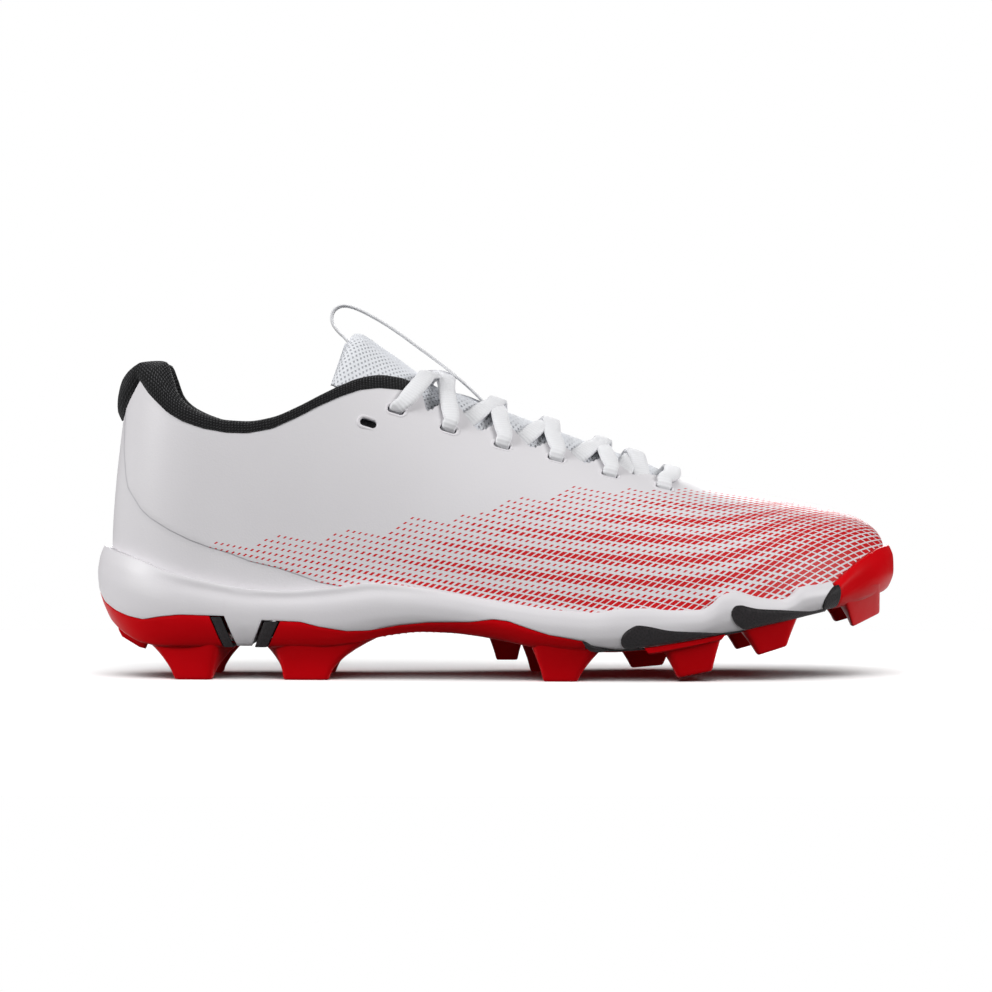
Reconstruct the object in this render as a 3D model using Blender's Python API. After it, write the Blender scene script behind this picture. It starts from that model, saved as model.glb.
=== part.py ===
"""Football cleat: one right shoe standing on its studs, toe along +X, outer side along -Y."""

import math

import bmesh
import bpy
import numpy as np

# Tables are in millimetres in the shoe's own frame, x from the heel, and MM takes them to metres
MM = 0.001

# Driving sizes
HEEL_X = 5.0
TOE_X = 295.3
HEEL_ROUND = 34.0
HEEL_POWER = 2.1
TOE_ROUND = 76.0
TOE_POWER = 2.3
DOME_START = 255.0
DOME_POWER = 3.0
HEEL_LEAN = 3.6
LEAN_FROM = 50.0
LEAN_RISE = 42.0
LEAN_REACH = 50.0
WALL = 2.2
GAP = 0.3
PLATE = 2.2
RIM = 2.4
WEB_INSET = 4.0
WEB = 1.2
WEB_DROP = 1.3
INSOLE = 4.0
NOTCH_X = 123.1
NOTCH_PITCH = 19.4
NOTCH_DEPTH = 3.4
THROAT_CLOSE = 206.0
THROAT_FRONT = 223.0
SLOT_LONG = 6.6
SLOT_HIGH = 3.2
LACE_WIDE = 7.0
LACE_THICK = 1.5
LACE_STEPS = 7
# Lift off the skin and the share of the way that each crossing runs in the open, from the top
LACE_SPANS = ((1.9, 0.0, 1.0), (0.9, 0.0, 0.76), (0.9, 0.0, 0.76), (0.9, 0.0, 0.76), (0.9, 0.27, 0.73))
LOOP_WIDE = 10.0
LOOP_THICK = 1.2
POD_THICK = 1.0

# The last: breadth each side of the axis, ridge line, foot bed, virtual crown and section power
LAST_COLUMNS = ("x", "lateral", "medial", "ridge", "base", "crown", "power")
LAST = (
    (5.0, 31.0, 30.0, 0.0, 30.0, 150.0, 2.6),
    (14.0, 31.2, 30.2, 0.0, 27.0, 150.0, 2.6),
    (39.0, 31.5, 30.5, 0.0, 25.2, 150.0, 2.6),
    (70.0, 33.5, 30.0, 0.3, 24.6, 147.0, 2.55),
    (85.0, 34.8, 29.6, 1.0, 24.4, 140.0, 2.45),
    (97.0, 36.0, 29.8, 1.5, 24.2, 132.0, 2.35),
    (110.0, 37.6, 30.6, 2.1, 23.9, 123.0, 2.25),
    (120.0, 38.9, 31.5, 2.6, 23.5, 116.2, 2.18),
    (135.0, 40.8, 33.6, 3.3, 22.6, 106.8, 2.08),
    (150.0, 42.8, 36.2, 4.0, 20.8, 100.2, 2.0),
    (167.0, 44.9, 39.6, 4.9, 18.6, 93.8, 1.95),
    (188.0, 46.8, 43.4, 6.0, 17.8, 86.0, 1.93),
    (206.0, 47.4, 46.0, 6.8, 18.7, 79.6, 1.93),
    (218.0, 47.4, 47.0, 7.3, 20.1, 75.3, 1.95),
    (231.0, 47.2, 47.4, 7.8, 22.0, 71.0, 2.0),
    (248.0, 46.4, 47.6, 8.4, 25.4, 67.6, 2.1),
    (263.0, 45.2, 47.4, 8.7, 28.6, 64.8, 2.2),
    (278.0, 44.0, 47.0, 8.9, 32.2, 62.0, 2.3),
    (295.3, 43.0, 46.0, 9.0, 37.0, 58.6, 2.4),
)

# Height of the shell's top edge under the collar, along the shoe
EDGE_COLUMNS = ("x", "z")
EDGE = (
    (5.0, 96.0),
    (8.7, 103.5),
    (13.0, 110.8),
    (18.5, 105.4),
    (27.0, 98.6),
    (33.0, 95.4),
    (41.0, 92.8),
    (50.0, 91.2),
    (58.0, 91.0),
    (67.0, 92.6),
    (76.0, 96.6),
    (84.0, 100.8),
    (92.0, 104.4),
    (99.0, 106.8),
    (106.0, 107.6),
    (114.0, 106.9),
    (121.0, 105.2),
)

# The collar: top line, inward lean of its top, thickness and depth of the inside
COLLAR_COLUMNS = ("x", "top", "lean", "thick", "depth")
COLLAR = (
    (5.0, 118.6, 9.0, 6.6, 15.0),
    (13.0, 118.6, 6.0, 6.6, 15.0),
    (20.5, 117.6, 4.0, 6.6, 15.0),
    (25.0, 112.6, 2.6, 6.4, 15.0),
    (29.0, 106.2, 1.6, 6.2, 15.0),
    (34.0, 101.6, 0.8, 6.0, 15.0),
    (41.0, 97.9, 0.3, 5.8, 15.0),
    (50.0, 95.3, 0.0, 5.6, 15.0),
    (58.0, 94.9, 0.0, 5.6, 15.0),
    (67.0, 96.4, 0.0, 5.6, 15.0),
    (76.0, 100.2, 0.0, 5.4, 14.0),
    (84.0, 104.4, 0.0, 5.0, 12.0),
    (92.0, 108.4, 0.0, 4.6, 10.0),
    (99.0, 111.2, 0.0, 4.2, 8.0),
    (106.0, 112.4, 0.0, 4.0, 7.0),
    (114.0, 111.4, 0.0, 3.8, 6.0),
    (119.5, 109.0, 0.0, 3.6, 5.0),
)

# Where a rib that ends on the throat edge starts at the foot
FAN_COLUMNS = ("top", "foot")
FAN = (
    (123.1, 123.1),
    (140.0, 140.5),
    (160.0, 162.5),
    (180.0, 187.0),
    (200.0, 215.0),
    (210.4, 233.0),
    (215.25, 244.5),
    (220.1, 257.5),
    (221.3, 267.0),
    (222.0, 275.0),
    (222.45, 281.5),
    (222.75, 287.5),
    (222.92, 292.2),
    (223.0, 295.3),
)

# Half gap of the throat about the ridge, without its scallops
THROAT_COLUMNS = ("x", "gap")
THROAT = ((123.1, 17.0), (160.0, 16.6), (200.0, 15.4), (223.0, 14.6))

# Lace slots on each side, from the top lock slot to the toe
EYELET_COLUMNS = ("x", "z")
EYELETS = (
    (100.6, 94.0),
    (110.8, 98.8),
    (131.4, 92.0),
    (151.2, 86.0),
    (171.0, 81.2),
    (190.9, 75.3),
    (211.0, 70.6),
)

# Top edge of the midsole cup, lower edge of its wall and underside of the plate
LIP_COLUMNS = ("x", "z")
LIP = (
    (5.0, 48.8),
    (10.0, 47.0),
    (20.0, 43.5),
    (27.0, 40.5),
    (34.0, 38.1),
    (42.0, 36.2),
    (60.0, 33.1),
    (72.0, 32.6),
    (92.0, 34.2),
    (104.0, 35.5),
    (114.0, 34.8),
    (136.0, 31.3),
    (150.0, 28.8),
    (172.0, 25.9),
    (184.0, 25.1),
    (194.0, 26.5),
    (202.0, 26.7),
    (213.0, 26.0),
    (222.5, 26.2),
    (226.5, 28.3),
    (230.0, 31.4),
    (233.7, 32.5),
    (243.0, 30.6),
    (251.5, 29.8),
    (255.0, 31.2),
    (258.5, 34.3),
    (266.0, 35.2),
    (272.0, 36.6),
    (295.3, 37.2),
)
SPLIT_COLUMNS = ("x", "z")
SPLIT = (
    (5.0, 32.0),
    (7.5, 28.0),
    (12.0, 25.0),
    (16.5, 23.2),
    (21.7, 22.1),
    (27.0, 23.2),
    (34.0, 24.0),
    (50.2, 23.5),
    (54.6, 12.5),
    (60.0, 12.5),
    (64.0, 22.0),
    (78.0, 21.5),
    (85.0, 19.7),
    (95.0, 18.1),
    (103.0, 18.3),
    (114.0, 20.3),
    (125.0, 21.4),
    (140.0, 21.6),
    (148.5, 22.7),
    (154.0, 22.0),
    (161.0, 19.5),
    (168.5, 17.1),
    (181.0, 14.8),
    (183.0, 12.8),
    (194.0, 12.6),
    (205.0, 13.5),
    (220.0, 16.0),
    (230.0, 18.0),
    (238.0, 19.4),
    (250.0, 22.2),
    (261.0, 25.2),
    (268.0, 26.8),
    (276.0, 28.8),
    (295.3, 34.0),
)
UNDER_COLUMNS = ("x", "z")
UNDER = (
    (5.0, 24.0),
    (8.0, 20.4),
    (13.0, 16.4),
    (20.0, 13.2),
    (28.0, 12.1),
    (45.0, 12.0),
    (85.0, 12.0),
    (96.0, 13.2),
    (103.0, 15.0),
    (111.0, 16.7),
    (122.0, 17.8),
    (132.0, 17.5),
    (142.0, 16.4),
    (154.0, 14.2),
    (165.0, 12.0),
    (176.0, 10.9),
    (190.0, 10.4),
    (200.0, 10.9),
    (210.0, 12.2),
    (220.0, 14.0),
    (230.0, 16.0),
    (238.0, 17.5),
    (250.0, 20.4),
    (261.0, 23.4),
    (268.0, 25.0),
    (276.0, 27.0),
    (295.3, 32.4),
)

# How far the sole wall stands out from the foot bed's outline, from underside to lip
BULGE_COLUMNS = ("height", "out")
BULGE = ((0.0, 1.2), (0.18, 3.2), (0.42, 4.7), (0.6, 5.0), (0.82, 4.3), (1.0, 2.7))

# Height of the toe cap's top edge over each foot station
CAP_COLUMNS = ("x", "z")
CAP = ((270.0, 34.0), (273.0, 36.4), (277.0, 39.6), (282.0, 43.2), (287.0, 46.0), (291.0, 47.8), (295.3, 48.8))
CAP_START = 270.2
RECESS_START = 267.6
RECESS_END = 269.8
RECESS = 0.06

# The tongue's free top: crown, share of the last's half width, fall of its edges, backward sweep and thickness
TONGUE_COLUMNS = ("x", "crown", "share", "fall", "sweep", "thick")
TONGUE = (
    (97.0, 128.4, 0.4, 17.0, 0.5, 3.0),
    (98.4, 127.2, 0.44, 19.0, 0.5, 4.8),
    (104.0, 123.6, 0.47, 19.5, 0.48, 5.8),
    (112.0, 118.4, 0.49, 19.0, 0.4, 5.8),
    (122.0, 111.6, 0.53, 18.0, 0.28, 5.4),
    (132.0, 105.0, 0.62, 18.0, 0.12, 4.8),
    (145.0, 99.0, 0.7, 16.0, 0.0, 4.0),
    (170.0, 89.0, 0.7, 15.0, 0.0, 3.4),
    (200.0, 78.0, 0.68, 13.0, 0.0, 3.0),
    (229.0, 67.0, 0.55, 12.0, 0.0, 2.2),
)

# Middle line of the tape loop seen from the side
LOOP_COLUMNS = ("x", "z")
LOOP = (
    (92.0, 126.6),
    (89.6, 128.4),
    (87.8, 131.2),
    (87.2, 134.2),
    (88.2, 137.2),
    (91.6, 138.9),
    (97.0, 137.6),
    (105.4, 133.0),
    (112.9, 128.1),
    (120.4, 122.5),
    (127.9, 117.1),
    (131.6, 113.8),
    (133.6, 110.6),
    (134.2, 107.4),
)

# Studs: side of the axis, x of the top and of the tip, tip height, inset of the outer face, depth in y
STUD_COLUMNS = ("side", "rear", "front", "tip_rear", "tip_front", "low_rear", "low_front",
                "inset", "tip_inset", "deep", "tip_deep")
STUDS_HEEL = (
    (-1, 21.5, 48.5, 30.5, 45.0, 0.0, 0.0, -0.6, 1.4, 17.0, 9.0),
    (1, 21.5, 48.5, 30.5, 45.0, 0.0, 0.0, -0.6, 1.4, 17.0, 9.0),
)
STUDS_FRONT = (
    (-1, 67.5, 99.5, 72.0, 88.0, 0.0, 0.0, -0.6, 1.6, 18.0, 9.0),
    (1, 67.5, 99.5, 72.0, 88.0, 0.0, 0.0, -0.6, 1.6, 18.0, 9.0),
    (-1, 161.5, 185.4, 166.0, 178.6, 0.0, 0.0, -0.4, 2.0, 17.0, 9.0),
    (1, 157.5, 182.0, 162.0, 175.0, 0.0, 0.0, -0.4, 2.0, 17.0, 9.0),
    (-1, 203.5, 231.0, 214.4, 227.2, 1.5, 3.9, -0.6, 2.0, 16.0, 9.0),
    (1, 194.0, 221.0, 201.5, 213.5, 1.0, 2.0, -0.6, 2.0, 16.0, 9.0),
    (-1, 238.0, 257.6, 243.6, 254.6, 9.6, 12.6, -0.4, 2.0, 15.0, 8.0),
    (1, 235.0, 256.0, 241.5, 251.0, 8.0, 10.6, -0.4, 2.0, 15.0, 8.0),
)
CENTRE_STUD = (145.5, 159.0, 149.0, 157.0, 6.0, 6.0, 7.0, 5.0)
TOE_STUDS = (
    (-1, 277.0, 292.6, 282.2, 290.6, 20.6, 24.6, 3.0, 15.0, 8.0),
    (1, 277.0, 292.6, 281.6, 289.6, 20.2, 24.0, 3.0, 15.0, 8.0),
)
STUD_BEVEL = 0.16
FIN = ((6.4, 22.2), (7.6, 17.0), (8.8, 14.6), (15.3, 10.6), (17.6, 10.0), (18.4, 12.0), (20.5, 13.8), (13.5, 17.0),
       (9.0, 20.4))
FIN_HALF = 2.2

# Dark pods that lie on the sole wall: lower and upper edge along the shoe
POD_COLUMNS = ("x", "low", "high")
PODS = {
    "pod_rear": ((194.4, 14.2, 15.0), (196.0, 12.9, 18.0), (201.0, 13.8, 20.6), (212.0, 15.6, 19.0),
                 (222.0, 17.3, 18.6), (228.0, 18.4, 18.9)),
    "pod_front": ((233.4, 23.4, 25.4), (235.4, 21.8, 28.0), (242.5, 21.6, 26.6), (251.0, 23.4, 26.2),
                  (257.0, 25.0, 25.6)),
}

PAINT = {
    "white_upper": ((0.86, 0.86, 0.87, 1.0), 0.42),
    "black_knit": ((0.012, 0.012, 0.014, 1.0), 0.85),
    "white_mesh": ((0.82, 0.83, 0.85, 1.0), 0.8),
    "white_lace": ((0.86, 0.86, 0.86, 1.0), 0.75),
    "white_foam": ((0.85, 0.85, 0.86, 1.0), 0.5),
    "red_rubber": ((0.62, 0.016, 0.02, 1.0), 0.42),
    "dark_plate": ((0.016, 0.017, 0.019, 1.0), 0.4),
    "grey_foam": ((0.2, 0.2, 0.21, 1.0), 0.8),
}


def through(table, columns, name):
    """Monotone cubic curve through one named column of a table."""
    xs = np.array([row[0] for row in table], float)
    ys = np.array([row[columns.index(name)] for row in table], float)
    step = np.diff(xs)
    slope = np.diff(ys) / step
    tangent = np.zeros(len(xs))
    tangent[0] = slope[0]
    tangent[-1] = slope[-1]
    for i in range(1, len(xs) - 1):
        if slope[i - 1] * slope[i] > 0:
            tangent[i] = 2 * slope[i - 1] * slope[i] / (slope[i - 1] + slope[i])

    def value(x):
        x = float(min(max(x, xs[0]), xs[-1]))
        i = int(min(max(np.searchsorted(xs, x) - 1, 0), len(xs) - 2))
        t = (x - xs[i]) / step[i]
        a = (1 + 2 * t) * (1 - t) ** 2 * ys[i] + t * (1 - t) ** 2 * step[i] * tangent[i]
        b = t * t * (3 - 2 * t) * ys[i + 1] + t * t * (t - 1) * step[i] * tangent[i + 1]
        return float(a + b)

    return value


def straight(table, columns, name):
    """Straight pieces through one named column of a table."""
    xs = [row[0] for row in table]
    ys = [row[columns.index(name)] for row in table]
    return lambda x: float(np.interp(x, xs, ys))


lateral = through(LAST, LAST_COLUMNS, "lateral")
medial = through(LAST, LAST_COLUMNS, "medial")
ridge = through(LAST, LAST_COLUMNS, "ridge")
base = through(LAST, LAST_COLUMNS, "base")
crown = through(LAST, LAST_COLUMNS, "crown")
power = through(LAST, LAST_COLUMNS, "power")
edge_z = straight(EDGE, EDGE_COLUMNS, "z")
fan_foot = through(FAN, FAN_COLUMNS, "foot")
throat_gap = through(THROAT, THROAT_COLUMNS, "gap")
lip_z = through(LIP, LIP_COLUMNS, "z")
split_z = straight(SPLIT, SPLIT_COLUMNS, "z")
under_z = through(UNDER, UNDER_COLUMNS, "z")
bulge_out = through(BULGE, BULGE_COLUMNS, "out")
cap_z = through(CAP, CAP_COLUMNS, "z")


def smoothstep(low, high, x):
    t = min(max((x - low) / (high - low), 0.0), 1.0)
    return t * t * (3 - 2 * t)


def rounding(x):
    """One along the shoe, falling to nothing at the heel and the toe."""
    heel = min(max((x - HEEL_X) / HEEL_ROUND, 0.0), 1.0)
    toe = min(max((x - TOE_X + TOE_ROUND) / TOE_ROUND, 0.0), 1.0)
    a = (1 - (1 - heel) ** HEEL_POWER) ** (1 / HEEL_POWER)
    b = (1 - toe ** TOE_POWER) ** (1 / TOE_POWER)
    return a * b


def half_width(x, side):
    wide = lateral(x) + ridge(x) if side < 0 else medial(x) - ridge(x)
    return wide * rounding(x)


def height(x):
    dome = min(max((x - DOME_START) / (TOE_X - DOME_START), 0.0), 1.0)
    return (crown(x) - base(x)) * (1 - dome ** DOME_POWER) ** (1 / DOME_POWER)


def lean(x, z):
    """Forward lean of the heel's back, fading along the shoe."""
    rise = max((z - LEAN_FROM) / LEAN_RISE, 0.0) ** 1.5
    near = 1 - min(max((x - HEEL_X) / LEAN_REACH, 0.0), 1.0)
    return HEEL_LEAN * rise * near * near


def skin(x, angle, side):
    """Point of the last's skin on the section at x."""
    p = 2 / power(x)
    y = ridge(x) + side * half_width(x, side) * max(math.cos(angle), 0.0) ** p
    z = base(x) + height(x) * max(math.sin(angle), 0.0) ** p
    return np.array([x + lean(x, z), y, z])


def arch(x, y):
    """Height of the closed skin over a plan point."""
    side = -1 if y < ridge(x) else 1
    q = min(abs(y - ridge(x)) / max(half_width(x, side), 1e-6), 1.0)
    n = power(x)
    return base(x) + height(x) * (1 - q ** n) ** (1 / n)


def angle_at_z(x, z):
    t = min(max((z - base(x)) / max(height(x), 1e-6), 0.0), 1.0)
    return math.asin(t ** (power(x) / 2))


def angle_at_y(x, y, side):
    q = min(abs(y - ridge(x)) / max(half_width(x, side), 1e-6), 1.0)
    return math.acos(q ** (power(x) / 2))


def foot(x, side):
    """Point of the foot bed's outline and its outward direction in plan."""
    y = ridge(x) + side * half_width(x, side)
    if x <= HEEL_X + 1e-6:
        return np.array([x, y]), np.array([-1.0, 0.0])
    if x >= TOE_X - 1e-6:
        return np.array([x, y]), np.array([1.0, 0.0])
    h = min(0.4, (x - HEEL_X) / 2, (TOE_X - x) / 2)
    y0 = ridge(x - h) + side * half_width(x - h, side)
    y1 = ridge(x + h) + side * half_width(x + h, side)
    tangent = np.array([2 * h, y1 - y0])
    tangent /= np.linalg.norm(tangent)
    normal = np.array([tangent[1], -tangent[0]]) * (1 if side < 0 else -1)
    return np.array([x, y]), normal


def skin_out(x, side, z):
    """How far inside the foot outline the skin has come at height z, as a negative offset."""
    if z <= base(x):
        return 0.0
    point, normal = foot(x, side)
    low = 0.0
    high = 40.0
    for _ in range(40):
        middle = (low + high) / 2
        q = point - normal * middle
        if arch(min(q[0], TOE_X - 1e-4), q[1]) < z:
            low = middle
        else:
            high = middle
    return -(low + high) / 2


def wall_out(x, z):
    """Outward offset of the sole wall at a height."""
    t = (z - under_z(x)) / (lip_z(x) - under_z(x))
    out = bulge_out(min(max(t, 0.0), 1.0))
    recess = smoothstep(RECESS_START, RECESS_END, x)
    return out * (1 - recess + recess * RECESS)


def put(x, side, out, z, along=0.0):
    point, normal = foot(x, side)
    return np.array([point[0] + normal[0] * out + along, point[1] + normal[1] * out, z])


def paint(name):
    made = bpy.data.materials.get(name)
    if made:
        return made
    colour, rough = PAINT[name]
    made = bpy.data.materials.new(name)
    made.use_nodes = True
    shader = made.node_tree.nodes["Principled BSDF"]
    shader.inputs["Base Color"].default_value = colour
    shader.inputs["Roughness"].default_value = rough
    return made


def solid(name, points, faces, slot):
    """Closed mesh object from millimetre points."""
    mesh = bpy.data.meshes.new(name)
    work = bmesh.new()
    made = [work.verts.new([float(c) * MM for c in p]) for p in points]
    for face in faces:
        work.faces.new([made[i] for i in face])
    bmesh.ops.remove_doubles(work, verts=work.verts[:], dist=2e-6)
    bmesh.ops.dissolve_degenerate(work, dist=1e-6, edges=work.edges[:])
    bmesh.ops.recalc_face_normals(work, faces=work.faces[:])
    work.to_mesh(mesh)
    work.free()
    thing = bpy.data.objects.new(name, mesh)
    bpy.context.scene.collection.objects.link(thing)
    mesh.materials.append(paint(slot))
    return thing


def loft(name, loops, slot, ring=False, start=True, end=True, caps=None):
    """Closed body through closed loops of equal length, with the end faces given by caps."""
    count = len(loops[0])
    points = [p for loop in loops for p in loop]
    faces = []
    last = len(loops) if ring else len(loops) - 1
    for i in range(last):
        a = i * count
        b = ((i + 1) % len(loops)) * count
        for j in range(count):
            k = (j + 1) % count
            faces.append((a + j, a + k, b + k, b + j))
    caps = caps or (tuple(range(count)),)
    if not ring and start:
        faces += caps
    if not ring and end:
        far = (len(loops) - 1) * count
        faces += [tuple(far + i for i in cap) for cap in caps]
    return solid(name, points, faces, slot)


def combine(thing, other, operation):
    """Exact boolean, after which the other object is gone."""
    modifier = thing.modifiers.new(operation.lower(), "BOOLEAN")
    modifier.operation = operation
    modifier.solver = "EXACT"
    modifier.object = other
    bpy.context.view_layer.objects.active = thing
    bpy.ops.object.modifier_apply(modifier=modifier.name)
    bpy.data.objects.remove(other, do_unlink=True)


def arc_stations(first, last, count, start):
    """Stations close together at a rounded end."""
    for i in range(count):
        t = math.pi / 2 * i / count
        yield first + (last - first) * (1 - math.cos(t)) if start else first + (last - first) * math.sin(t)


def rib_tops():
    """Each rib from heel to toe: foot station, top station and whether it ends on the collar line."""
    ribs = [(HEEL_X + HEEL_ROUND * (1 - math.cos(math.radians(a))), None) for a in (0, 14, 27, 40, 53, 66, 78, 90)]
    ribs += [(x, None) for x in (46, 53, 60, 67, 74, 81, 88, 94.5, 101, 107.5, 114, 119.4)]
    for k in range(21):
        top = NOTCH_X + k * NOTCH_PITCH / 4
        ribs.append((fan_foot(top), top))
    ribs += [(fan_foot(top), top) for top in (221.3, 222.0, 222.45, 222.75, 222.92, THROAT_FRONT)]
    return ribs


def throat_y(x, side):
    """Throat edge about the ridge, scalloped between the slots and closed at the front."""
    wave = math.cos(2 * math.pi * (x - NOTCH_X) / NOTCH_PITCH)
    fade = 1 - smoothstep(THROAT_CLOSE - 8, THROAT_CLOSE + 4, x)
    gap = throat_gap(x) + NOTCH_DEPTH * wave * fade
    close = min(max((x - THROAT_CLOSE) / (THROAT_FRONT - THROAT_CLOSE), 0.0), 1.0)
    return ridge(x) + side * gap * math.sqrt(1 - close * close)


def rib_points(rib, side, rows):
    """Outer points of one rib from the foot bed to the top edge."""
    start, top = rib
    if top is None:
        reach = angle_at_z(start, edge_z(start))
        return [skin(start, reach * v / (rows - 1), side) for v in range(rows)]
    foot_point, _ = foot(start, side)
    end_y = throat_y(top, side)
    reach = angle_at_y(top, end_y, side)
    p = 2 / power(top)
    whole = 1 - max(math.cos(reach), 0.0) ** p
    made = []
    for v in range(rows):
        g = (1 - max(math.cos(reach * v / (rows - 1)), 0.0) ** p) / whole
        x = start + (top - start) * g
        y = foot_point[1] + (end_y - foot_point[1]) * g
        z = base(start) if v == 0 else arch(x, y)
        made.append(np.array([x + lean(x, z), y, z]))
    return made


def make_upper():
    rows = 8
    ribs = rib_tops()
    outer = [rib_points(rib, -1, rows) for rib in ribs]
    outer += [rib_points(rib, 1, rows) for rib in ribs[-2:0:-1]]
    grid = np.array(outer)
    around = np.roll(grid, -1, axis=0) - np.roll(grid, 1, axis=0)
    up = np.zeros_like(grid)
    up[:, 1:-1] = grid[:, 2:] - grid[:, :-2]
    up[:, 0] = grid[:, 1] - grid[:, 0]
    up[:, -1] = grid[:, -1] - grid[:, -2]
    normal = np.cross(around, up)
    normal[:, 0, 2] = 0.0
    normal /= np.linalg.norm(normal, axis=2, keepdims=True)
    inner = grid - normal * WALL
    loops = [list(grid[i]) + list(inner[i][::-1]) for i in range(len(grid))]
    upper = loft("upper", loops, "white_upper", ring=True)
    combine(upper, slot_cutters(), "DIFFERENCE")
    return upper


def eyelet_frame(index, side):
    """Centre, long direction, across direction and normal of one lace slot."""
    x, z = EYELETS[index]
    here = skin(x, angle_at_z(x, z), side)
    near = min(max(index, 2), len(EYELETS) - 2)
    xa, za = EYELETS[near - 1] if near > 2 else EYELETS[near]
    xb, zb = EYELETS[near + 1]
    long = skin(xb, angle_at_z(xb, zb), side) - skin(xa, angle_at_z(xa, za), side)
    long /= np.linalg.norm(long)
    up = skin(x, angle_at_z(x, z + 1), side) - skin(x, angle_at_z(x, z - 1), side)
    normal = np.cross(long, up) * (-side)
    normal /= np.linalg.norm(normal)
    if normal[1] * side < 0:
        normal = -normal
    across = np.cross(normal, long)
    across /= np.linalg.norm(across)
    return here, long, across, normal


def slot_cutters():
    points = []
    faces = []
    flat = SLOT_LONG / 2 - SLOT_HIGH / 2
    for side in (-1, 1):
        for index in range(len(EYELETS)):
            here, long, across, normal = eyelet_frame(index, side)
            start = len(points)
            ring = []
            for k in range(12):
                a = 2 * math.pi * (k + 0.5) / 12
                u = SLOT_HIGH / 2 * math.cos(a) + (flat if math.cos(a) > 0 else -flat)
                ring.append(long * u + across * SLOT_HIGH / 2 * math.sin(a))
            for depth in (-7.0, 5.0):
                points += [here + r + normal * depth for r in ring]
            for k in range(12):
                n = (k + 1) % 12
                faces.append((start + k, start + n, start + 12 + n, start + 12 + k))
            faces.append(tuple(range(start, start + 12)))
            faces.append(tuple(range(start + 12, start + 24)))
    return solid("slots", points, faces, "white_upper")


def make_collar():
    top = through(COLLAR, COLLAR_COLUMNS, "top")
    inward = through(COLLAR, COLLAR_COLUMNS, "lean")
    thick = through(COLLAR, COLLAR_COLUMNS, "thick")
    depth = through(COLLAR, COLLAR_COLUMNS, "depth")
    stations = [HEEL_X + HEEL_ROUND * (1 - math.cos(math.radians(a))) for a in (0, 14, 27, 40, 50, 58, 66, 78, 90)]
    stations += [46, 53, 60, 67, 74, 81, 88, 94.5, 101, 107.5, 113.5, 118.6]

    def section(x, side):
        z = edge_z(x)
        angle = angle_at_z(x, z)
        here = skin(x, angle, side)
        up = skin(x, angle + 0.01, side) - skin(x, angle - 0.01, side)
        up /= np.linalg.norm(up)
        _, plan = foot(x, side)
        out = np.array([plan[0], plan[1], 0.0])
        out -= up * out.dot(up)
        out /= np.linalg.norm(out)
        tall = (top(x) - z) / up[2]
        bulk = thick(x)
        deep = depth(x)
        back = inward(x)
        shape = (
            (0.0, 0.45),
            (0.5, 0.34 * tall),
            (-0.1, 0.74 * tall),
            (-bulk * 0.42, tall),
            (-bulk * 0.85, 0.8 * tall),
            (-bulk, 0.3 * tall - 1),
            (-bulk, -deep * 0.5),
            (-max(bulk * 0.75, WALL + 1.5), -deep),
            (-WALL - 1.0, -deep * 0.9),
            (-WALL - 0.9, 0.45),
        )
        made = []
        for across, along in shape:
            root = here + up * along
            if along < 0:
                root = skin(x, angle_at_z(x, z + along * up[2]), side)
            tip = max(along / tall, 0.0) ** 1.4
            made.append(root + out * (across - back * tip))
        return made

    loops = [section(x, -1) for x in stations[::-1]]
    loops += [section(x, 1) for x in stations[1:]]
    return loft("collar", loops, "black_knit")


def make_tongue():
    crown_z = through(TONGUE, TONGUE_COLUMNS, "crown")
    share = through(TONGUE, TONGUE_COLUMNS, "share")
    fall = through(TONGUE, TONGUE_COLUMNS, "fall")
    sweep = through(TONGUE, TONGUE_COLUMNS, "sweep")
    thick = through(TONGUE, TONGUE_COLUMNS, "thick")

    def tucked(x, y):
        h = 0.5
        dx = (arch(x + h, y) - arch(x - h, y)) / (2 * h)
        dy = (arch(x, y + h) - arch(x, y - h)) / (2 * h)
        return arch(x, y) - (WALL + 1.1) * math.sqrt(1 + dx * dx + dy * dy)

    def section(x):
        outer = []
        inner = []
        for k in range(9):
            s = -1 + k / 4
            half = share(x) * half_width(x, -1 if s < 0 else 1)
            y = ridge(x) + half * s
            drop = fall(x) * s * s
            px = x - sweep(x) * drop
            free = crown_z(x) - drop
            tuck = smoothstep(118.0, 130.0, x)
            z = free * (1 - tuck) + tucked(x, y) * tuck
            slope = 2 * fall(x) * s / half
            lead = np.array([-0.55 * smoothstep(140.0, 112.0, x) - 0.35, slope, 0.0])
            body = np.array([-lead[0], slope * 0.9, 1.0])
            body /= np.linalg.norm(body)
            edge = thick(x) * (1 - 0.5 * abs(s) ** 3)
            outer.append(np.array([px, y, z]))
            inner.append(np.array([px, y, z]) - body * edge)
        return outer + inner[::-1]

    stations = (97.0, 98.0, 100.0, 104.0, 110.0, 116.0, 122.0, 128.0, 134.0, 142.0, 152.0, 164.0, 178.0, 192.0,
                206.0, 218.0, 228.0)
    return loft("tongue", [section(x) for x in stations], "white_mesh")


def strip(name, path, normals, wide, thick, slot, lift=0.0):
    """Flat band along a path, its lower face lifted off the path along the normals."""
    path = np.array(path)
    loops = []
    for i, here in enumerate(path):
        along = path[min(i + 1, len(path) - 1)] - path[max(i - 1, 0)]
        along /= np.linalg.norm(along)
        up = np.array(normals[i], float)
        up -= along * up.dot(along)
        up /= np.linalg.norm(up)
        across = np.cross(along, up) * wide / 2
        low = here + up * lift
        high = here + up * (lift + thick)
        loops.append([low - across, low + across, high + across * 0.86, high - across * 0.86])
    return loft(name, loops, slot)


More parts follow.
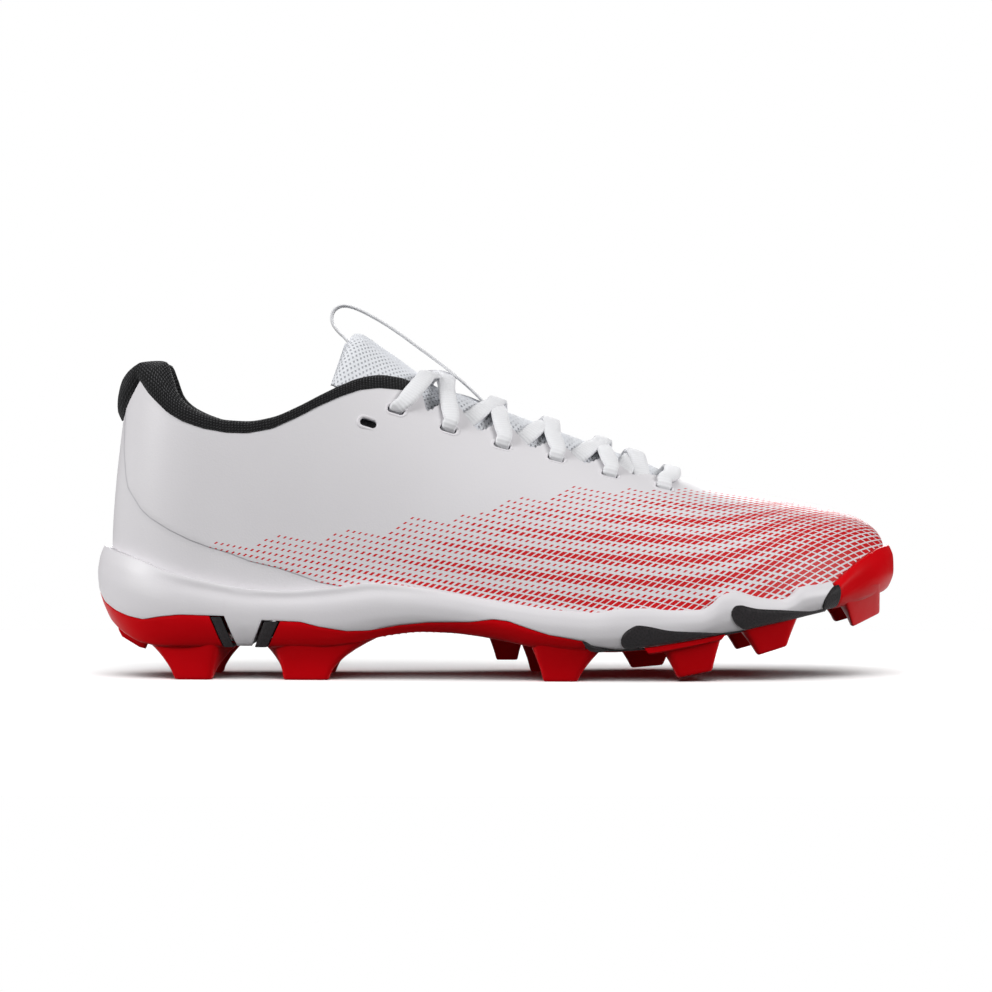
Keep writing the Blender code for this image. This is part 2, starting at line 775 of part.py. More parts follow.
def make_loop():
    middle = ridge(112.0)
    path = [np.array([x, middle, z]) for x, z in LOOP]
    normals = []
    for i in range(len(path)):
        along = path[min(i + 1, len(path) - 1)] - path[max(i - 1, 0)]
        normals.append(np.cross(along, (0.0, 1.0, 0.0)))
    return strip("pull_loop", path, normals, LOOP_WIDE, LOOP_THICK, "white_lace", -LOOP_THICK / 2)


def lace_strip(name, start, end, lift, bow=0.0, first=0.0, last=1.0):
    """Lace band over the skin between two slots, given as (eyelet index, side), for part of the way."""
    a = eyelet_frame(*start)[0]
    b = eyelet_frame(*end)[0]
    path = []
    normals = []
    for k in range(LACE_STEPS + 1):
        t = first + (last - first) * k / LACE_STEPS
        x = a[0] + (b[0] - a[0]) * t + bow * math.sin(math.pi * t)
        y = a[1] + (b[1] - a[1]) * t
        h = 0.8
        dx = (arch(x + h, y) - arch(x - h, y)) / (2 * h)
        dy = (arch(x, y + h) - arch(x, y - h)) / (2 * h)
        path.append(np.array([x, y, arch(x, y)]))
        normals.append((-dx, -dy, 1.0))
    return strip(name, path, normals, LACE_WIDE, LACE_THICK, "white_lace", lift)


def make_laces():
    lace_strip("lace_bar", (6, -1), (6, 1), 0.9, 4.0)
    for k, (lift, first, last) in enumerate(LACE_SPANS):
        cross = lace_strip("lace_cross_" + str(k + 1), (k + 2, -1), (k + 1, 1), lift, 0.0, first, last)
        other = lace_strip("lace_other", (k + 2, 1), (k + 1, -1), lift + 0.05, 0.0, first, last)
        combine(cross, other, "UNION")


def slab(name, stations, rows, slot, start=True, end=True, caps=None):
    """Body between both sides of the shoe, from rows of (out, z, along) up the wall and inward."""
    loops = []
    for x in stations:
        near = [put(x, -1, *row) for row in rows(x, -1)]
        far = [put(x, 1, *row) for row in rows(x, 1)]
        loops.append(near + far[::-1])
    return loft(name, loops, slot, start=start, end=end, caps=caps)


def plate_top(x):
    return under_z(x) + PLATE


def midsole_rows(x, side):
    low = split_z(x)
    top = lip_z(x)
    inside = max(wall_out(x, low) - RIM - 0.3 - 0.5 * smoothstep(165.0, 176.0, x), 0.35)
    floor_low = plate_top(x) + GAP
    if x > 182.0:
        inside = -1.0
        floor_low = low
    if x > RECESS_START:
        top = base(x) - GAP
    rows = [(min(inside - 0.3, wall_out(x, floor_low) - 1.5), floor_low), (inside, low)]
    for part in (0.0, 0.25, 0.52, 0.78, 1.0):
        z = low + (top - low) * part
        rows.append((wall_out(x, z), z))
    if x > RECESS_START:
        return rows + [(0.14, top), (0.08, top), (0.02, top)]
    rows.append((max(skin_out(x, side, top) + 0.4, -0.6), top - 0.2))
    rows.append((0.4, base(x) + 0.4))
    rows.append((0.4, base(x) - GAP))
    return rows


def sole_stations(first, last):
    """Stations shared by the pieces of the sole."""
    made = list(arc_stations(HEEL_X, HEEL_X + HEEL_ROUND, 7, True))
    made += [39.0, 44.6, 50.2, 52.4, 54.6, 60.0, 64.0, 71.0, 78.0, 86.0, 95.0, 104.0, 114.0, 125.0, 137.0, 148.5, 155.0]
    made += [162.0, 169.0, 176.0, 181.0, 183.0, 190.0, 198.0, 206.0, 214.0, 221.0, 225.0, 228.0, 231.0, 234.0, 240.0]
    made += [247.0, 252.5, 256.0, 259.0, 264.0, 267.4, 269.8, 275.0, 280.0, 285.0, 289.5, 293.0, 294.7, TOE_X]
    return [x for x in made if first <= x <= last]


def make_midsole():
    return slab("midsole", sole_stations(0.0, 300.0), midsole_rows, "white_foam", start=False, end=False)


def make_insole():
    def rows(x, side):
        low = base(x) + 0.1
        side_gap = WALL + 0.7 + 1.2 * smoothstep(265.0, 290.0, x)
        return ((-side_gap, low), (-side_gap, low + INSOLE * 0.7), (-side_gap - 1.2, low + INSOLE))

    stations = list(arc_stations(HEEL_X, HEEL_X + HEEL_ROUND, 6, True))
    stations += [39.0, 56.0, 73.0, 90.0, 107.0, 124.0, 141.0, 157.0, 173.0, 188.0, 202.0, 214.0, 226.0, 238.0]
    stations += [250.0, 260.0, 269.0, 277.0, 284.0, 289.5, 293.0, 294.7, TOE_X]
    return slab("insole", stations, rows, "grey_foam", start=False, end=False)


def tray_rows(slant, tie, pivot):
    """Rows of a red or dark piece that wraps up the wall, its ends slanted about a height."""
    def rows(x, side):
        low = under_z(x)
        top = split_z(x) - GAP if tie is None else tie - GAP
        out = wall_out(x, top)
        lead = slant(x)
        plate = min(plate_top(x), top - 0.2) if tie is None else low + 1.2
        rim = RIM if tie is None else RIM - 0.7
        middle = (low + top) / 2
        third = plate + (top - plate) * 0.3
        made = (
            (wall_out(x, low), low),
            (wall_out(x, low + (top - low) * 0.3), low + (top - low) * 0.3),
            (wall_out(x, middle), middle),
            (out, top),
            (out - rim + 0.2, top),
            (min(out - rim + 0.15, wall_out(x, third) - 1.0), third),
            (min(out - rim + 0.1, wall_out(x, plate) - 1.0), plate),
        )
        return [(o, z, lead * (pivot - z)) for o, z in made]

    return rows


# End faces of a wrapped section of seven rows a side
TRAY_CAPS = ((0, 1, 6), (1, 2, 5, 6), (2, 3, 4, 5), (0, 6, 7, 13), (13, 12, 7), (12, 11, 8, 7), (11, 10, 9, 8))


def make_heel_pieces():
    rear = straight(((39.0, 0.0), (44.6, 0.4), (50.0, 0.4)), ("x", "lead"), "lead")
    rows = tray_rows(rear, None, 23.5)
    heel = slab("outsole_heel", sole_stations(0.0, 44.6), rows, "red_rubber", start=False, caps=TRAY_CAPS)
    fin = [np.array([x, FIN_HALF * s, z]) for s in (-1, 1) for x, z in FIN]
    count = len(FIN)
    faces = [tuple(range(count)), tuple(range(count, 2 * count))]
    faces += [(k, (k + 1) % count, count + (k + 1) % count, count + k) for k in range(count)]
    combine(heel, solid("fin", fin, faces, "red_rubber"), "UNION")
    combine(heel, studs("heel_studs", STUDS_HEEL), "UNION")
    slab("heel_inlay_rear", (45.0, 46.8, 48.8), tray_rows(rear, 23.5, 23.5), "dark_plate", caps=TRAY_CAPS)
    front = straight(((64.3, -0.42), (71.0, -0.5), (78.0, 0.0)), ("x", "lead"), "lead")
    slab("heel_inlay_front", (65.2, 67.8, 70.4), tray_rows(front, 21.9, 22.0), "dark_plate", caps=TRAY_CAPS)
    return front


def front_rows(slant):
    """Rows of the front outsole: arch rim, web under the forefoot, then the toe cap."""
    arch_rows = tray_rows(slant, None, 22.0)

    def rows(x, side):
        if x < 179.5:
            return arch_rows(x, side)
        low = under_z(x)
        if x < 180.2:
            out = wall_out(x, low + 0.9)
            top = low + 0.9
            return ((wall_out(x, low), low), (out - 0.6, low + 0.3), (out - 0.2, low + 0.6),
                    (out, top), (out - 0.8, top), (out - 1.6, top), (out - 2.2, top))
        if x < 266.5:
            top = low - WEB_DROP
            foot_z = top - WEB
            return ((-WEB_INSET, foot_z), (-WEB_INSET + 0.4, foot_z + 0.3), (-WEB_INSET + 0.4, foot_z + 0.6),
                    (-WEB_INSET, top), (-WEB_INSET - 1, top), (-WEB_INSET - 2, top), (-WEB_INSET - 3, top))
        web = split_z(x) - GAP - 0.2
        if x < CAP_START:
            foot_z = low - 1.0
            return ((0.2, foot_z), (1.6, foot_z + 0.4), (2.3, foot_z + 0.8),
                    (2.4, web), (2.0, web), (1.5, web), (1.0, web))
        inner = 0.85
        tip = smoothstep(CAP_START, 280.0, x)
        bulk = 3.9 - 0.7 * tip
        high = max(cap_z(x), base(x) + 3.0)
        if x < 272.0:
            return ((0.2, low), (bulk - 1.4, low + 2.2), (bulk, (low + 2.2 + high) / 2),
                    (bulk - 0.9, high), (inner + 0.2, high), (inner, base(x) + 0.6), (inner, web))
        face = skin_out(x, side, high)
        return ((0.2, low), (bulk - 1.4, low + 2.2), (bulk, (low + 2.2 + high) / 2),
                (face + 2.7, high), (face + 0.95, high - 0.1), (inner, base(x) + 0.6), (inner, web))

    return rows


def web_stations():
    """Stations of the forefoot plate and the web under it."""
    return [183.8, 190.0, 197.0, 204.0, 211.0, 218.0, 225.0, 232.0, 239.0, 246.0, 253.0, 260.0, 265.6]


def make_front_outsole(slant):
    stations = sole_stations(71.0, 176.0) + [179.4, 179.8, 181.4]
    stations += web_stations() + [267.8, 269.9, 270.4, 272.6] + sole_stations(275.0, 300.0)
    thing = slab("outsole_front", stations, front_rows(slant), "red_rubber", end=False, caps=TRAY_CAPS)
    combine(thing, studs("front_studs", STUDS_FRONT), "UNION")
    combine(thing, toe_studs(), "UNION")
    return thing


def ring_of(corners):
    """Four corners with each one cut off."""
    made = []
    for k in range(4):
        here = corners[k]
        made.append(here + (corners[k - 1] - here) * STUD_BEVEL)
        made.append(here + (corners[(k + 1) % 4] - here) * STUD_BEVEL)
    return made


def frusta(name, pairs):
    points = []
    faces = []
    for top, tip in pairs:
        start = len(points)
        points += ring_of(top) + ring_of(tip)
        for k in range(8):
            n = (k + 1) % 8
            faces.append((start + k, start + n, start + 8 + n, start + 8 + k))
        faces.append(tuple(range(start, start + 8)))
        faces.append(tuple(range(start + 8, start + 16)))
    return solid(name, points, faces, "red_rubber")


def stud_root(x):
    """Height at which a stud's top sits inside the plate or the web."""
    if x < 181.0:
        return under_z(x) + 0.6
    return under_z(x) - 0.4 if x < 190.0 else under_z(x) - WEB_DROP - 0.45


def studs(name, table):
    pairs = []
    for row in table:
        s = dict(zip(STUD_COLUMNS, row))
        side = s["side"]

        def corner(x, inset, deep, z):
            point, _ = foot(x, side)
            return np.array([x, point[1] + side * (1.2 - inset - deep), z])

        top = [
            corner(s["rear"], s["inset"], 0, stud_root(s["rear"])),
            corner(s["front"], s["inset"], 0, stud_root(s["front"])),
            corner(s["front"], s["inset"], s["deep"], stud_root(s["front"])),
            corner(s["rear"], s["inset"], s["deep"], stud_root(s["rear"])),
        ]
        tip = [
            corner(s["tip_rear"], s["tip_inset"], 0, s["low_rear"]),
            corner(s["tip_front"], s["tip_inset"], 0, s["low_front"]),
            corner(s["tip_front"], s["tip_inset"], s["tip_deep"], s["low_front"]),
            corner(s["tip_rear"], s["tip_inset"], s["tip_deep"], s["low_rear"]),
        ]
        pairs.append((top, tip))
    return frusta(name, pairs)


def toe_studs():
    pairs = []
    for side, rear, front, tip_rear, tip_front, low_rear, low_front, near, far, tip_deep in TOE_STUDS:
        middle = ridge(285.0)
        top = [
            np.array([rear, middle + side * far, under_z(rear) + 0.8]),
            np.array([front, middle + side * far * 0.7, under_z(front) + 0.8]),
            np.array([front, middle + side * near, under_z(front) + 0.8]),
            np.array([rear, middle + side * near, under_z(rear) + 0.8]),
        ]
        tip = [
            np.array([tip_rear, middle + side * (near + tip_deep + 1.6), low_rear]),
            np.array([tip_front, middle + side * (near + tip_deep * 0.8 + 1.6), low_front]),
            np.array([tip_front, middle + side * (near + 1.6), low_front]),
            np.array([tip_rear, middle + side * (near + 1.6), low_rear]),
        ]
        pairs.append((top, tip))
    rear, front, tip_rear, tip_front, low_rear, low_front, half, tip_half = CENTRE_STUD
    top = [np.array([x, y, stud_root(x)]) for x, y in ((rear, -half), (front, -half), (front, half), (rear, half))]
    tip = [np.array([x, y, low_rear]) for x, y in
           ((tip_rear, -tip_half), (tip_front, -tip_half), (tip_front, tip_half), (tip_rear, tip_half))]
    pairs.append((top, tip))
    return frusta("toe_studs", pairs)


def make_forefoot_plate():
    def rows(x, side):
        low = under_z(x)
        top = split_z(x) - GAP
        return ((wall_out(x, low), low), (wall_out(x, top), top))

    stations = web_stations()[:-1] + [261.6]
    return slab("forefoot_plate", stations, rows, "dark_plate")


def make_pods():
    for name, table in PODS.items():
        low = through(table, POD_COLUMNS, "low")
        high = through(table, POD_COLUMNS, "high")
        start = table[0][0]
        end = table[-1][0]
        for side, label in ((-1, "_outer"), (1, "_inner")):
            loops = []
            for k in range(8):
                x = start + (end - start) * (k / 7) ** 1.3
                heights = [low(x) + (high(x) - low(x)) * t for t in (0.0, 0.5, 1.0)]
                front = [put(x, side, wall_out(x, z) + GAP + POD_THICK, z) for z in heights]
                back = [put(x, side, wall_out(x, z) + GAP, z) for z in heights]
                loops.append(front + back[::-1])
            loft(name + label, loops, "dark_plate")


def centre():
    """Origin to the middle of the bounding box, on the floor."""
    low = np.full(3, 1e9)
    high = np.full(3, -1e9)
    things = [o for o in bpy.data.objects if o.type == "MESH"]
    for thing in things:
        for v in thing.data.vertices:
            low = np.minimum(low, v.co)
            high = np.maximum(high, v.co)
    shift = np.array([(low[0] + high[0]) / 2, (low[1] + high[1]) / 2, low[2]])
    for thing in things:
        for v in thing.data.vertices:
            v.co = [float(c) for c in np.array(v.co) - shift]
        thing.data.update()


for old in list(bpy.data.objects):
    bpy.data.objects.remove(old, do_unlink=True)
make_upper()
make_collar()
make_tongue()
make_loop()
make_laces()
make_insole()
make_midsole()
front_slant = make_heel_pieces()
make_front_outsole(front_slant)
make_forefoot_plate()
make_pods()
centre()
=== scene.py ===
import math

import bpy
import numpy as np
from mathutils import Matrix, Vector


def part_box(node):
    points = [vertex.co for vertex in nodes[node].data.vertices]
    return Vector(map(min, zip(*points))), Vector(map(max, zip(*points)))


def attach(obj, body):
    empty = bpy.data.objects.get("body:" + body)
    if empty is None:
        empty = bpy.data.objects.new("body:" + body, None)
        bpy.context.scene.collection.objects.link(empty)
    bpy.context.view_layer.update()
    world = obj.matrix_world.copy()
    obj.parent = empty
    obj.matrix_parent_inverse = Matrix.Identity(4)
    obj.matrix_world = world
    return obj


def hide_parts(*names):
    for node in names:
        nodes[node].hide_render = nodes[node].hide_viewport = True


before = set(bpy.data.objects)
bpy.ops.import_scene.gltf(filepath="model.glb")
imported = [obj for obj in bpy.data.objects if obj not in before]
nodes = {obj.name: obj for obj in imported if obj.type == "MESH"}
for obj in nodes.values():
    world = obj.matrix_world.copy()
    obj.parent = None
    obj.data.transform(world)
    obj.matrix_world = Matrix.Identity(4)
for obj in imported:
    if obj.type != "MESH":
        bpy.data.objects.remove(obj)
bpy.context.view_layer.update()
print("frame loaded")

# The shoe's own millimetres: x from the heel, y about the axis, z from the floor
last = {
    "heelX": 5.0,
    "toeX": 295.3,
    "heelRound": 34.0,
    "heelPower": 2.1,
    "toeRound": 76.0,
    "toePower": 2.3,
    "domeStart": 255.0,
    "domePower": 4.6,
    "heelLean": 3.6,
    "leanFrom": 50.0,
    "leanRise": 42.0,
    "leanReach": 50.0,
    "loopX": 112.0,  # where the pull loop's middle plane meets the ridge
    # x, outer breadth, inner breadth, ridge, foot bed, crown, section power
    "rows": (
        (5, 31, 30, 0, 30, 150, 2.6),
        (14, 31.2, 30.2, 0, 27, 150, 2.6),
        (39, 31.5, 30.5, 0, 25.2, 150, 2.6),
        (70, 33.5, 30, 0.3, 24.6, 147, 2.55),
        (85, 34.8, 29.6, 1, 24.4, 140, 2.45),
        (97, 36, 29.8, 1.5, 24.2, 132, 2.35),
        (110, 37.6, 30.6, 2.1, 23.9, 123, 2.25),
        (120, 38.9, 31.5, 2.6, 23.5, 116.2, 2.18),
        (135, 40.8, 33.6, 3.3, 22.6, 106.8, 2.08),
        (150, 42.8, 36.2, 4, 20.8, 100.2, 2),
        (167, 44.9, 39.6, 4.9, 18.6, 93.8, 1.95),
        (188, 46.8, 43.4, 6, 17.8, 86, 1.93),
        (206, 47.4, 46, 6.8, 18.7, 79.6, 1.93),
        (218, 47.4, 47, 7.3, 20.1, 75.3, 1.95),
        (231, 47.2, 47.4, 7.8, 22, 71, 2),
        (248, 46.4, 47.6, 8.4, 25.4, 67.6, 2.1),
        (263, 45.2, 47.4, 8.7, 28.6, 64.8, 2.2),
        (278, 44, 47, 8.9, 32.2, 62, 2.3),
        (295.3, 43, 46, 9, 37, 58.6, 2.4),
    ),
}


def curveThrough(rows, column):  # smooth curve through one column, with no overshoot
    xs = np.array([row[0] for row in rows], float)
    ys = np.array([row[column] for row in rows], float)
    step = np.diff(xs)
    slope = np.diff(ys) / step
    tangent = np.zeros(len(xs))
    tangent[0] = slope[0]
    tangent[-1] = slope[-1]
    for i in range(1, len(xs) - 1):
        if slope[i - 1] * slope[i] > 0:
            tangent[i] = 2 * slope[i - 1] * slope[i] / (slope[i - 1] + slope[i])

    def value(x):
        x = np.clip(x, xs[0], xs[-1])
        i = np.clip(np.searchsorted(xs, x) - 1, 0, len(xs) - 2)
        t = (x - xs[i]) / step[i]
        begin = (1 + 2 * t) * (1 - t) ** 2 * ys[i] + t * (1 - t) ** 2 * step[i] * tangent[i]
        end = t * t * (3 - 2 * t) * ys[i + 1] + t * t * (t - 1) * step[i] * tangent[i + 1]
        return begin + end

    return value


def ease(low, high, x):
    t = np.clip((x - low) / (high - low), 0, 1)
    return t * t * (3 - 2 * t)


lateral, medial, ridge, footBed, crown, power = [curveThrough(last["rows"], k) for k in range(1, 7)]

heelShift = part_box("upper")[0].x * 1000 - last["heelX"]
loopLow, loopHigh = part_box("pull_loop")
loopMiddle = float(ridge(last["loopX"]))
axisShift = (loopLow.y + loopHigh.y) * 500 - loopMiddle


def toRow(points):  # shoe millimetres to the frame's metres
    return (np.asarray(points, float) + (heelShift, axisShift, 0.0)) / 1000


def rounding(x):  # one along the shoe, falling to nothing at heel and toe
    heel = np.clip((x - last["heelX"]) / last["heelRound"], 0, 1)
    toe = np.clip((x - last["toeX"] + last["toeRound"]) / last["toeRound"], 0, 1)
    atHeel = (1 - (1 - heel) ** last["heelPower"]) ** (1 / last["heelPower"])
    atToe = (1 - toe ** last["toePower"]) ** (1 / last["toePower"])
    return atHeel * atToe


def halfWidth(x, side):
    wide = np.where(np.asarray(side) < 0, lateral(x) + ridge(x), medial(x) - ridge(x))
    return wide * rounding(x)


def tallness(x):
    dome = np.clip((x - last["domeStart"]) / (last["toeX"] - last["domeStart"]), 0, 1)
    return (crown(x) - footBed(x)) * (1 - dome ** last["domePower"]) ** (1 / last["domePower"])


def heelLean(x, z):
    rise = np.maximum((z - last["leanFrom"]) / last["leanRise"], 0) ** 1.5
    near = 1 - np.clip((x - last["heelX"]) / last["leanReach"], 0, 1)
    return last["heelLean"] * rise * near * near


def skin(x, angle, side):  # point of the last's skin on the section at x
    x = np.asarray(x, float) + 0 * np.asarray(angle)
    p = 2 / power(x)
    y = ridge(x) + side * halfWidth(x, side) * np.maximum(np.cos(angle), 0) ** p
    z = footBed(x) + tallness(x) * np.maximum(np.sin(angle), 0) ** p
    return np.stack([x + heelLean(x, z), y, z], -1)


def acrossShare(x, y, side):  # share of the half width between the ridge and a point
    return np.clip(np.abs(y - ridge(x)) / np.maximum(halfWidth(x, side), 1e-6), 0, 1)


def riseShare(x, z):  # share of the shell's height between the foot bed and a point
    return np.clip((z - footBed(x)) / np.maximum(tallness(x), 1e-6), 0, 1)


def arch(x, y):  # height of the closed skin over a plan point
    side = np.where(y < ridge(x), -1, 1)
    n = power(x)
    return footBed(x) + tallness(x) * (1 - acrossShare(x, y, side) ** n) ** (1 / n)


def archSlopes(x, y, h):  # slopes of the closed skin along and across the shoe
    along = (arch(x + h, y) - arch(x - h, y)) / (2 * h)
    across = (arch(x, y + h) - arch(x, y - h)) / (2 * h)
    return along, across


def angleAtZ(x, z):
    return np.arcsin(riseShare(x, z) ** (power(x) / 2))


def angleAtY(x, y, side):
    return np.arccos(acrossShare(x, y, side) ** (power(x) / 2))


def heelStations(count):
    return list(last["heelX"] + last["heelRound"] * (1 - np.cos(np.linspace(0, math.pi / 2, count))))


def toeStations(first, count):
    return list(first + (last["toeX"] - first) * np.sin(np.linspace(0, math.pi / 2, count)))


def footPoint(x, side):  # point of the foot bed's outline and its outward direction in plan
    y = float(ridge(x) + side * halfWidth(x, side))
    if x <= last["heelX"] + 1e-6:
        return np.array([x, y]), np.array([-1.0, 0.0])
    if x >= last["toeX"] - 1e-6:
        return np.array([x, y]), np.array([1.0, 0.0])
    h = min(0.4, (x - last["heelX"]) / 2, (last["toeX"] - x) / 2)
    before = ridge(x - h) + side * halfWidth(x - h, side)
    after = ridge(x + h) + side * halfWidth(x + h, side)
    tangent = np.array([2 * h, float(after - before)])
    tangent /= np.linalg.norm(tangent)
    return np.array([x, y]), np.array([tangent[1], -tangent[0]]) * -side


def unit(vector):
    return vector / np.linalg.norm(vector, axis=-1, keepdims=True)


def alongPath(points, count, level=0.5):  # even points on a smooth curve through a few
    points = np.asarray(points, float)
    padded = np.vstack([2 * points[0] - points[1], points, 2 * points[-1] - points[-2]])
    dense = []
    for i in range(1, len(padded) - 2):
        before, here, there, after = padded[i - 1:i + 3]
        for t in np.linspace(0, 1, 24, endpoint=False):
            leaving = (there - before) * level
            arriving = (after - here) * level
            dense.append((2 * t ** 3 - 3 * t ** 2 + 1) * here + (t ** 3 - 2 * t ** 2 + t) * leaving
                         + (3 * t ** 2 - 2 * t ** 3) * there + (t ** 3 - t ** 2) * arriving)
    dense.append(points[-1])
    return evenly(np.array(dense), count)


def runAlong(line):  # length from the start of a line to each of its points
    return np.concatenate([[0], np.cumsum(np.linalg.norm(np.diff(line, axis=0), axis=1))])


def evenly(line, count):  # the same line with evenly spaced points
    run = runAlong(line)
    wanted = np.linspace(0, run[-1], count)
    return np.stack([np.interp(wanted, run, line[:, k]) for k in range(3)], -1)


def clothSheet(run, across):  # places on a woven sheet from the lengths along and across it
    return np.stack(np.broadcast_arrays(run[:, None], across[None, :]), -1) / 100


# Modelling helpers
def clearSelection():
    bpy.ops.object.select_all(action="DESELECT")


def activate(piece):  # the only piece that is selected
    clearSelection()
    piece.select_set(True)
    bpy.context.view_layer.objects.active = piece


def editAll(piece):
    activate(piece)
    bpy.ops.object.mode_set(mode="EDIT")
    bpy.ops.mesh.select_mode(type="VERT")
    bpy.ops.mesh.select_all(action="SELECT")


def leaveEdit():
    bpy.ops.object.mode_set(mode="OBJECT")


def faceOutward(piece):
    editAll(piece)
    bpy.ops.mesh.normals_make_consistent(inside=False)
    leaveEdit()


def applyModifier(piece, kind, **settings):
    activate(piece)
    modifier = piece.modifiers.new(kind.lower(), kind)
    for key, value in settings.items():
        setattr(modifier, key, value)
    bpy.ops.object.modifier_apply(modifier=modifier.name)


def smoothShade(piece, degrees):
    activate(piece)
    bpy.ops.object.shade_smooth_by_angle(angle=math.radians(degrees))


def pointsOf(mesh):
    flat = np.empty(len(mesh.vertices) * 3)
    mesh.vertices.foreach_get("co", flat)
    return flat.reshape(-1, 3)


def latticePiece(name, table, uv=None, capped=False, outward=True):  # a grid moved onto a table of points
    columns, rows = table.shape[:2]
    clearSelection()
    bpy.ops.mesh.primitive_grid_add(x_subdivisions=columns - 1, y_subdivisions=rows - 1, size=2)
    piece = bpy.context.object
    piece.name = name
    mesh = piece.data
    flat = pointsOf(mesh)
    i = np.rint((flat[:, 0] + 1) / 2 * (columns - 1)).astype(int)
    j = np.rint((flat[:, 1] + 1) / 2 * (rows - 1)).astype(int)
    mesh.vertices.foreach_set("co", toRow(table[i, j]).ravel())
    mesh.uv_layers[0].name = "weave"
    if uv is not None:
        corner = np.empty(len(mesh.loops), int)
        mesh.loops.foreach_get("vertex_index", corner)
        mesh.uv_layers[0].data.foreach_set("uv", uv[i, j][corner].astype(np.float32).ravel())
    mesh.update()
    editAll(piece)
    bpy.ops.mesh.remove_doubles(threshold=1e-6)
    if capped:
        bpy.ops.mesh.select_all(action="DESELECT")
        bpy.ops.mesh.select_non_manifold(extend=False, use_boundary=True, use_wire=False,
                                         use_multi_face=False, use_non_contiguous=False, use_verts=False)
        bpy.ops.mesh.fill_holes(sides=0)
        bpy.ops.mesh.select_all(action="SELECT")
    if outward:
        bpy.ops.mesh.normals_make_consistent(inside=False)
    leaveEdit()
    return piece


def joinPieces(name, pieces):
    clearSelection()
    for piece in pieces:
        piece.select_set(True)
    bpy.context.view_layer.objects.active = pieces[0]
    bpy.ops.object.join()
    pieces[0].name = name
    return pieces[0]


def wear(piece, *finishes):
    piece.data.materials.clear()
    for finish in finishes:
        piece.data.materials.append(finish)


def fit(piece, slotName, *replaced):  # the piece moves with the shoe and stands for the nodes
    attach(piece, "root")
    if replaced:
        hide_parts(*replaced)


def dress(piece, finish, degrees, slotName, *replaced):
    wear(piece, finish)
    smoothShade(piece, degrees)
    fit(piece, slotName, *replaced)


# Shader helpers
class Wire:
    def __init__(self, tree, socket=None):
        self.tree = tree
        self.socket = socket

    def node(self, kind, settings=None, inputs=None, outlet=0):
        made = self.tree.nodes.new(kind)
        for key, value in (settings or {}).items():
            if key == "stops":
                setStops(made.color_ramp, value)
            else:
                setattr(made, key, value)
        for key, value in (inputs or {}).items():
            if isinstance(value, Wire):
                self.tree.links.new(value.socket, made.inputs[key])
            else:
                made.inputs[key].default_value = value
        return Wire(self.tree, made.outputs[outlet])

    def maths(self, operation, *values):
        return self.node("ShaderNodeMath", {"operation": operation}, dict(enumerate(values)))

    def __add__(self, other):
        return self.maths("ADD", self, other)

    def __radd__(self, other):
        return self.maths("ADD", other, self)

    def __sub__(self, other):
        return self.maths("SUBTRACT", self, other)

    def __rsub__(self, other):
        return self.maths("SUBTRACT", other, self)

    def __mul__(self, other):
        return self.maths("MULTIPLY", self, other)

    def __truediv__(self, other):
        return self.maths("DIVIDE", self, other)

    def __lt__(self, other):
        return self.maths("LESS_THAN", self, other)

    def __gt__(self, other):
        return self.maths("GREATER_THAN", self, other)

    def between(self, low, high):  # soft rise from nought to one
        return self.node("ShaderNodeMapRange", {"interpolation_type": "SMOOTHSTEP"},
                         {"Value": self, "From Min": low, "From Max": high})

    def ripple(self, step):  # even waves from nought to one
        return self.maths("SINE", self * (2 * math.pi / step)) * 0.5 + 0.5

    def part(self, axis):
        return self.node("ShaderNodeSeparateXYZ", None, {0: self}, axis)

    def mixed(self, dark, light):  # colour by this share
        return self.node("ShaderNodeMix", {"data_type": "RGBA"}, {0: self, 6: dark, 7: light}, 2)


def setStops(ramp, stops):
    ramp.interpolation = stops["interpolation"]
    while len(ramp.elements) < len(stops["places"]):
        ramp.elements.new(1.0)
    for element, (place, value) in zip(ramp.elements, stops["places"]):
        element.position = place
        element.color = (value, value, value, 1.0)


def newFinish(name, colour, roughness, **sockets):
    finish = bpy.data.materials.new(name)
    finish.use_nodes = True
    tree = finish.node_tree
    shader = tree.nodes["Principled BSDF"]
    shader.inputs["Base Color"].default_value = (*colour, 1.0)
    shader.inputs["Roughness"].default_value = roughness
    for key, value in sockets.items():
        shader.inputs[key.replace("_", " ")].default_value = value
    finish.diffuse_color = (*colour, 1.0)
    return finish, shader, Wire(tree)


def feed(shader, socket, wire):
    wire.tree.links.new(wire.socket, shader.inputs[socket])


def bump(wire, height, distance, strength):
    return wire.node("ShaderNodeBump", None, {"Strength": strength, "Distance": distance, "Height": height})


def place(wire):
    return wire.node("ShaderNodeTexCoord", outlet="Object")


def onCloth(wire):  # millimetres along and across a woven sheet
    where = wire.node("ShaderNodeUVMap", {"uv_map": "weave"})
    return where.part("X") * 100, where.part("Y") * 100


def noise(wire, where, scale):
    return wire.node("ShaderNodeTexNoise", None, {"Vector": where, "Scale": scale, "Detail": 2.0})


def cells(wire, where, scale):
    return wire.node("ShaderNodeTexVoronoi", None, {"Vector": where, "Scale": scale})


print("helpers ready")

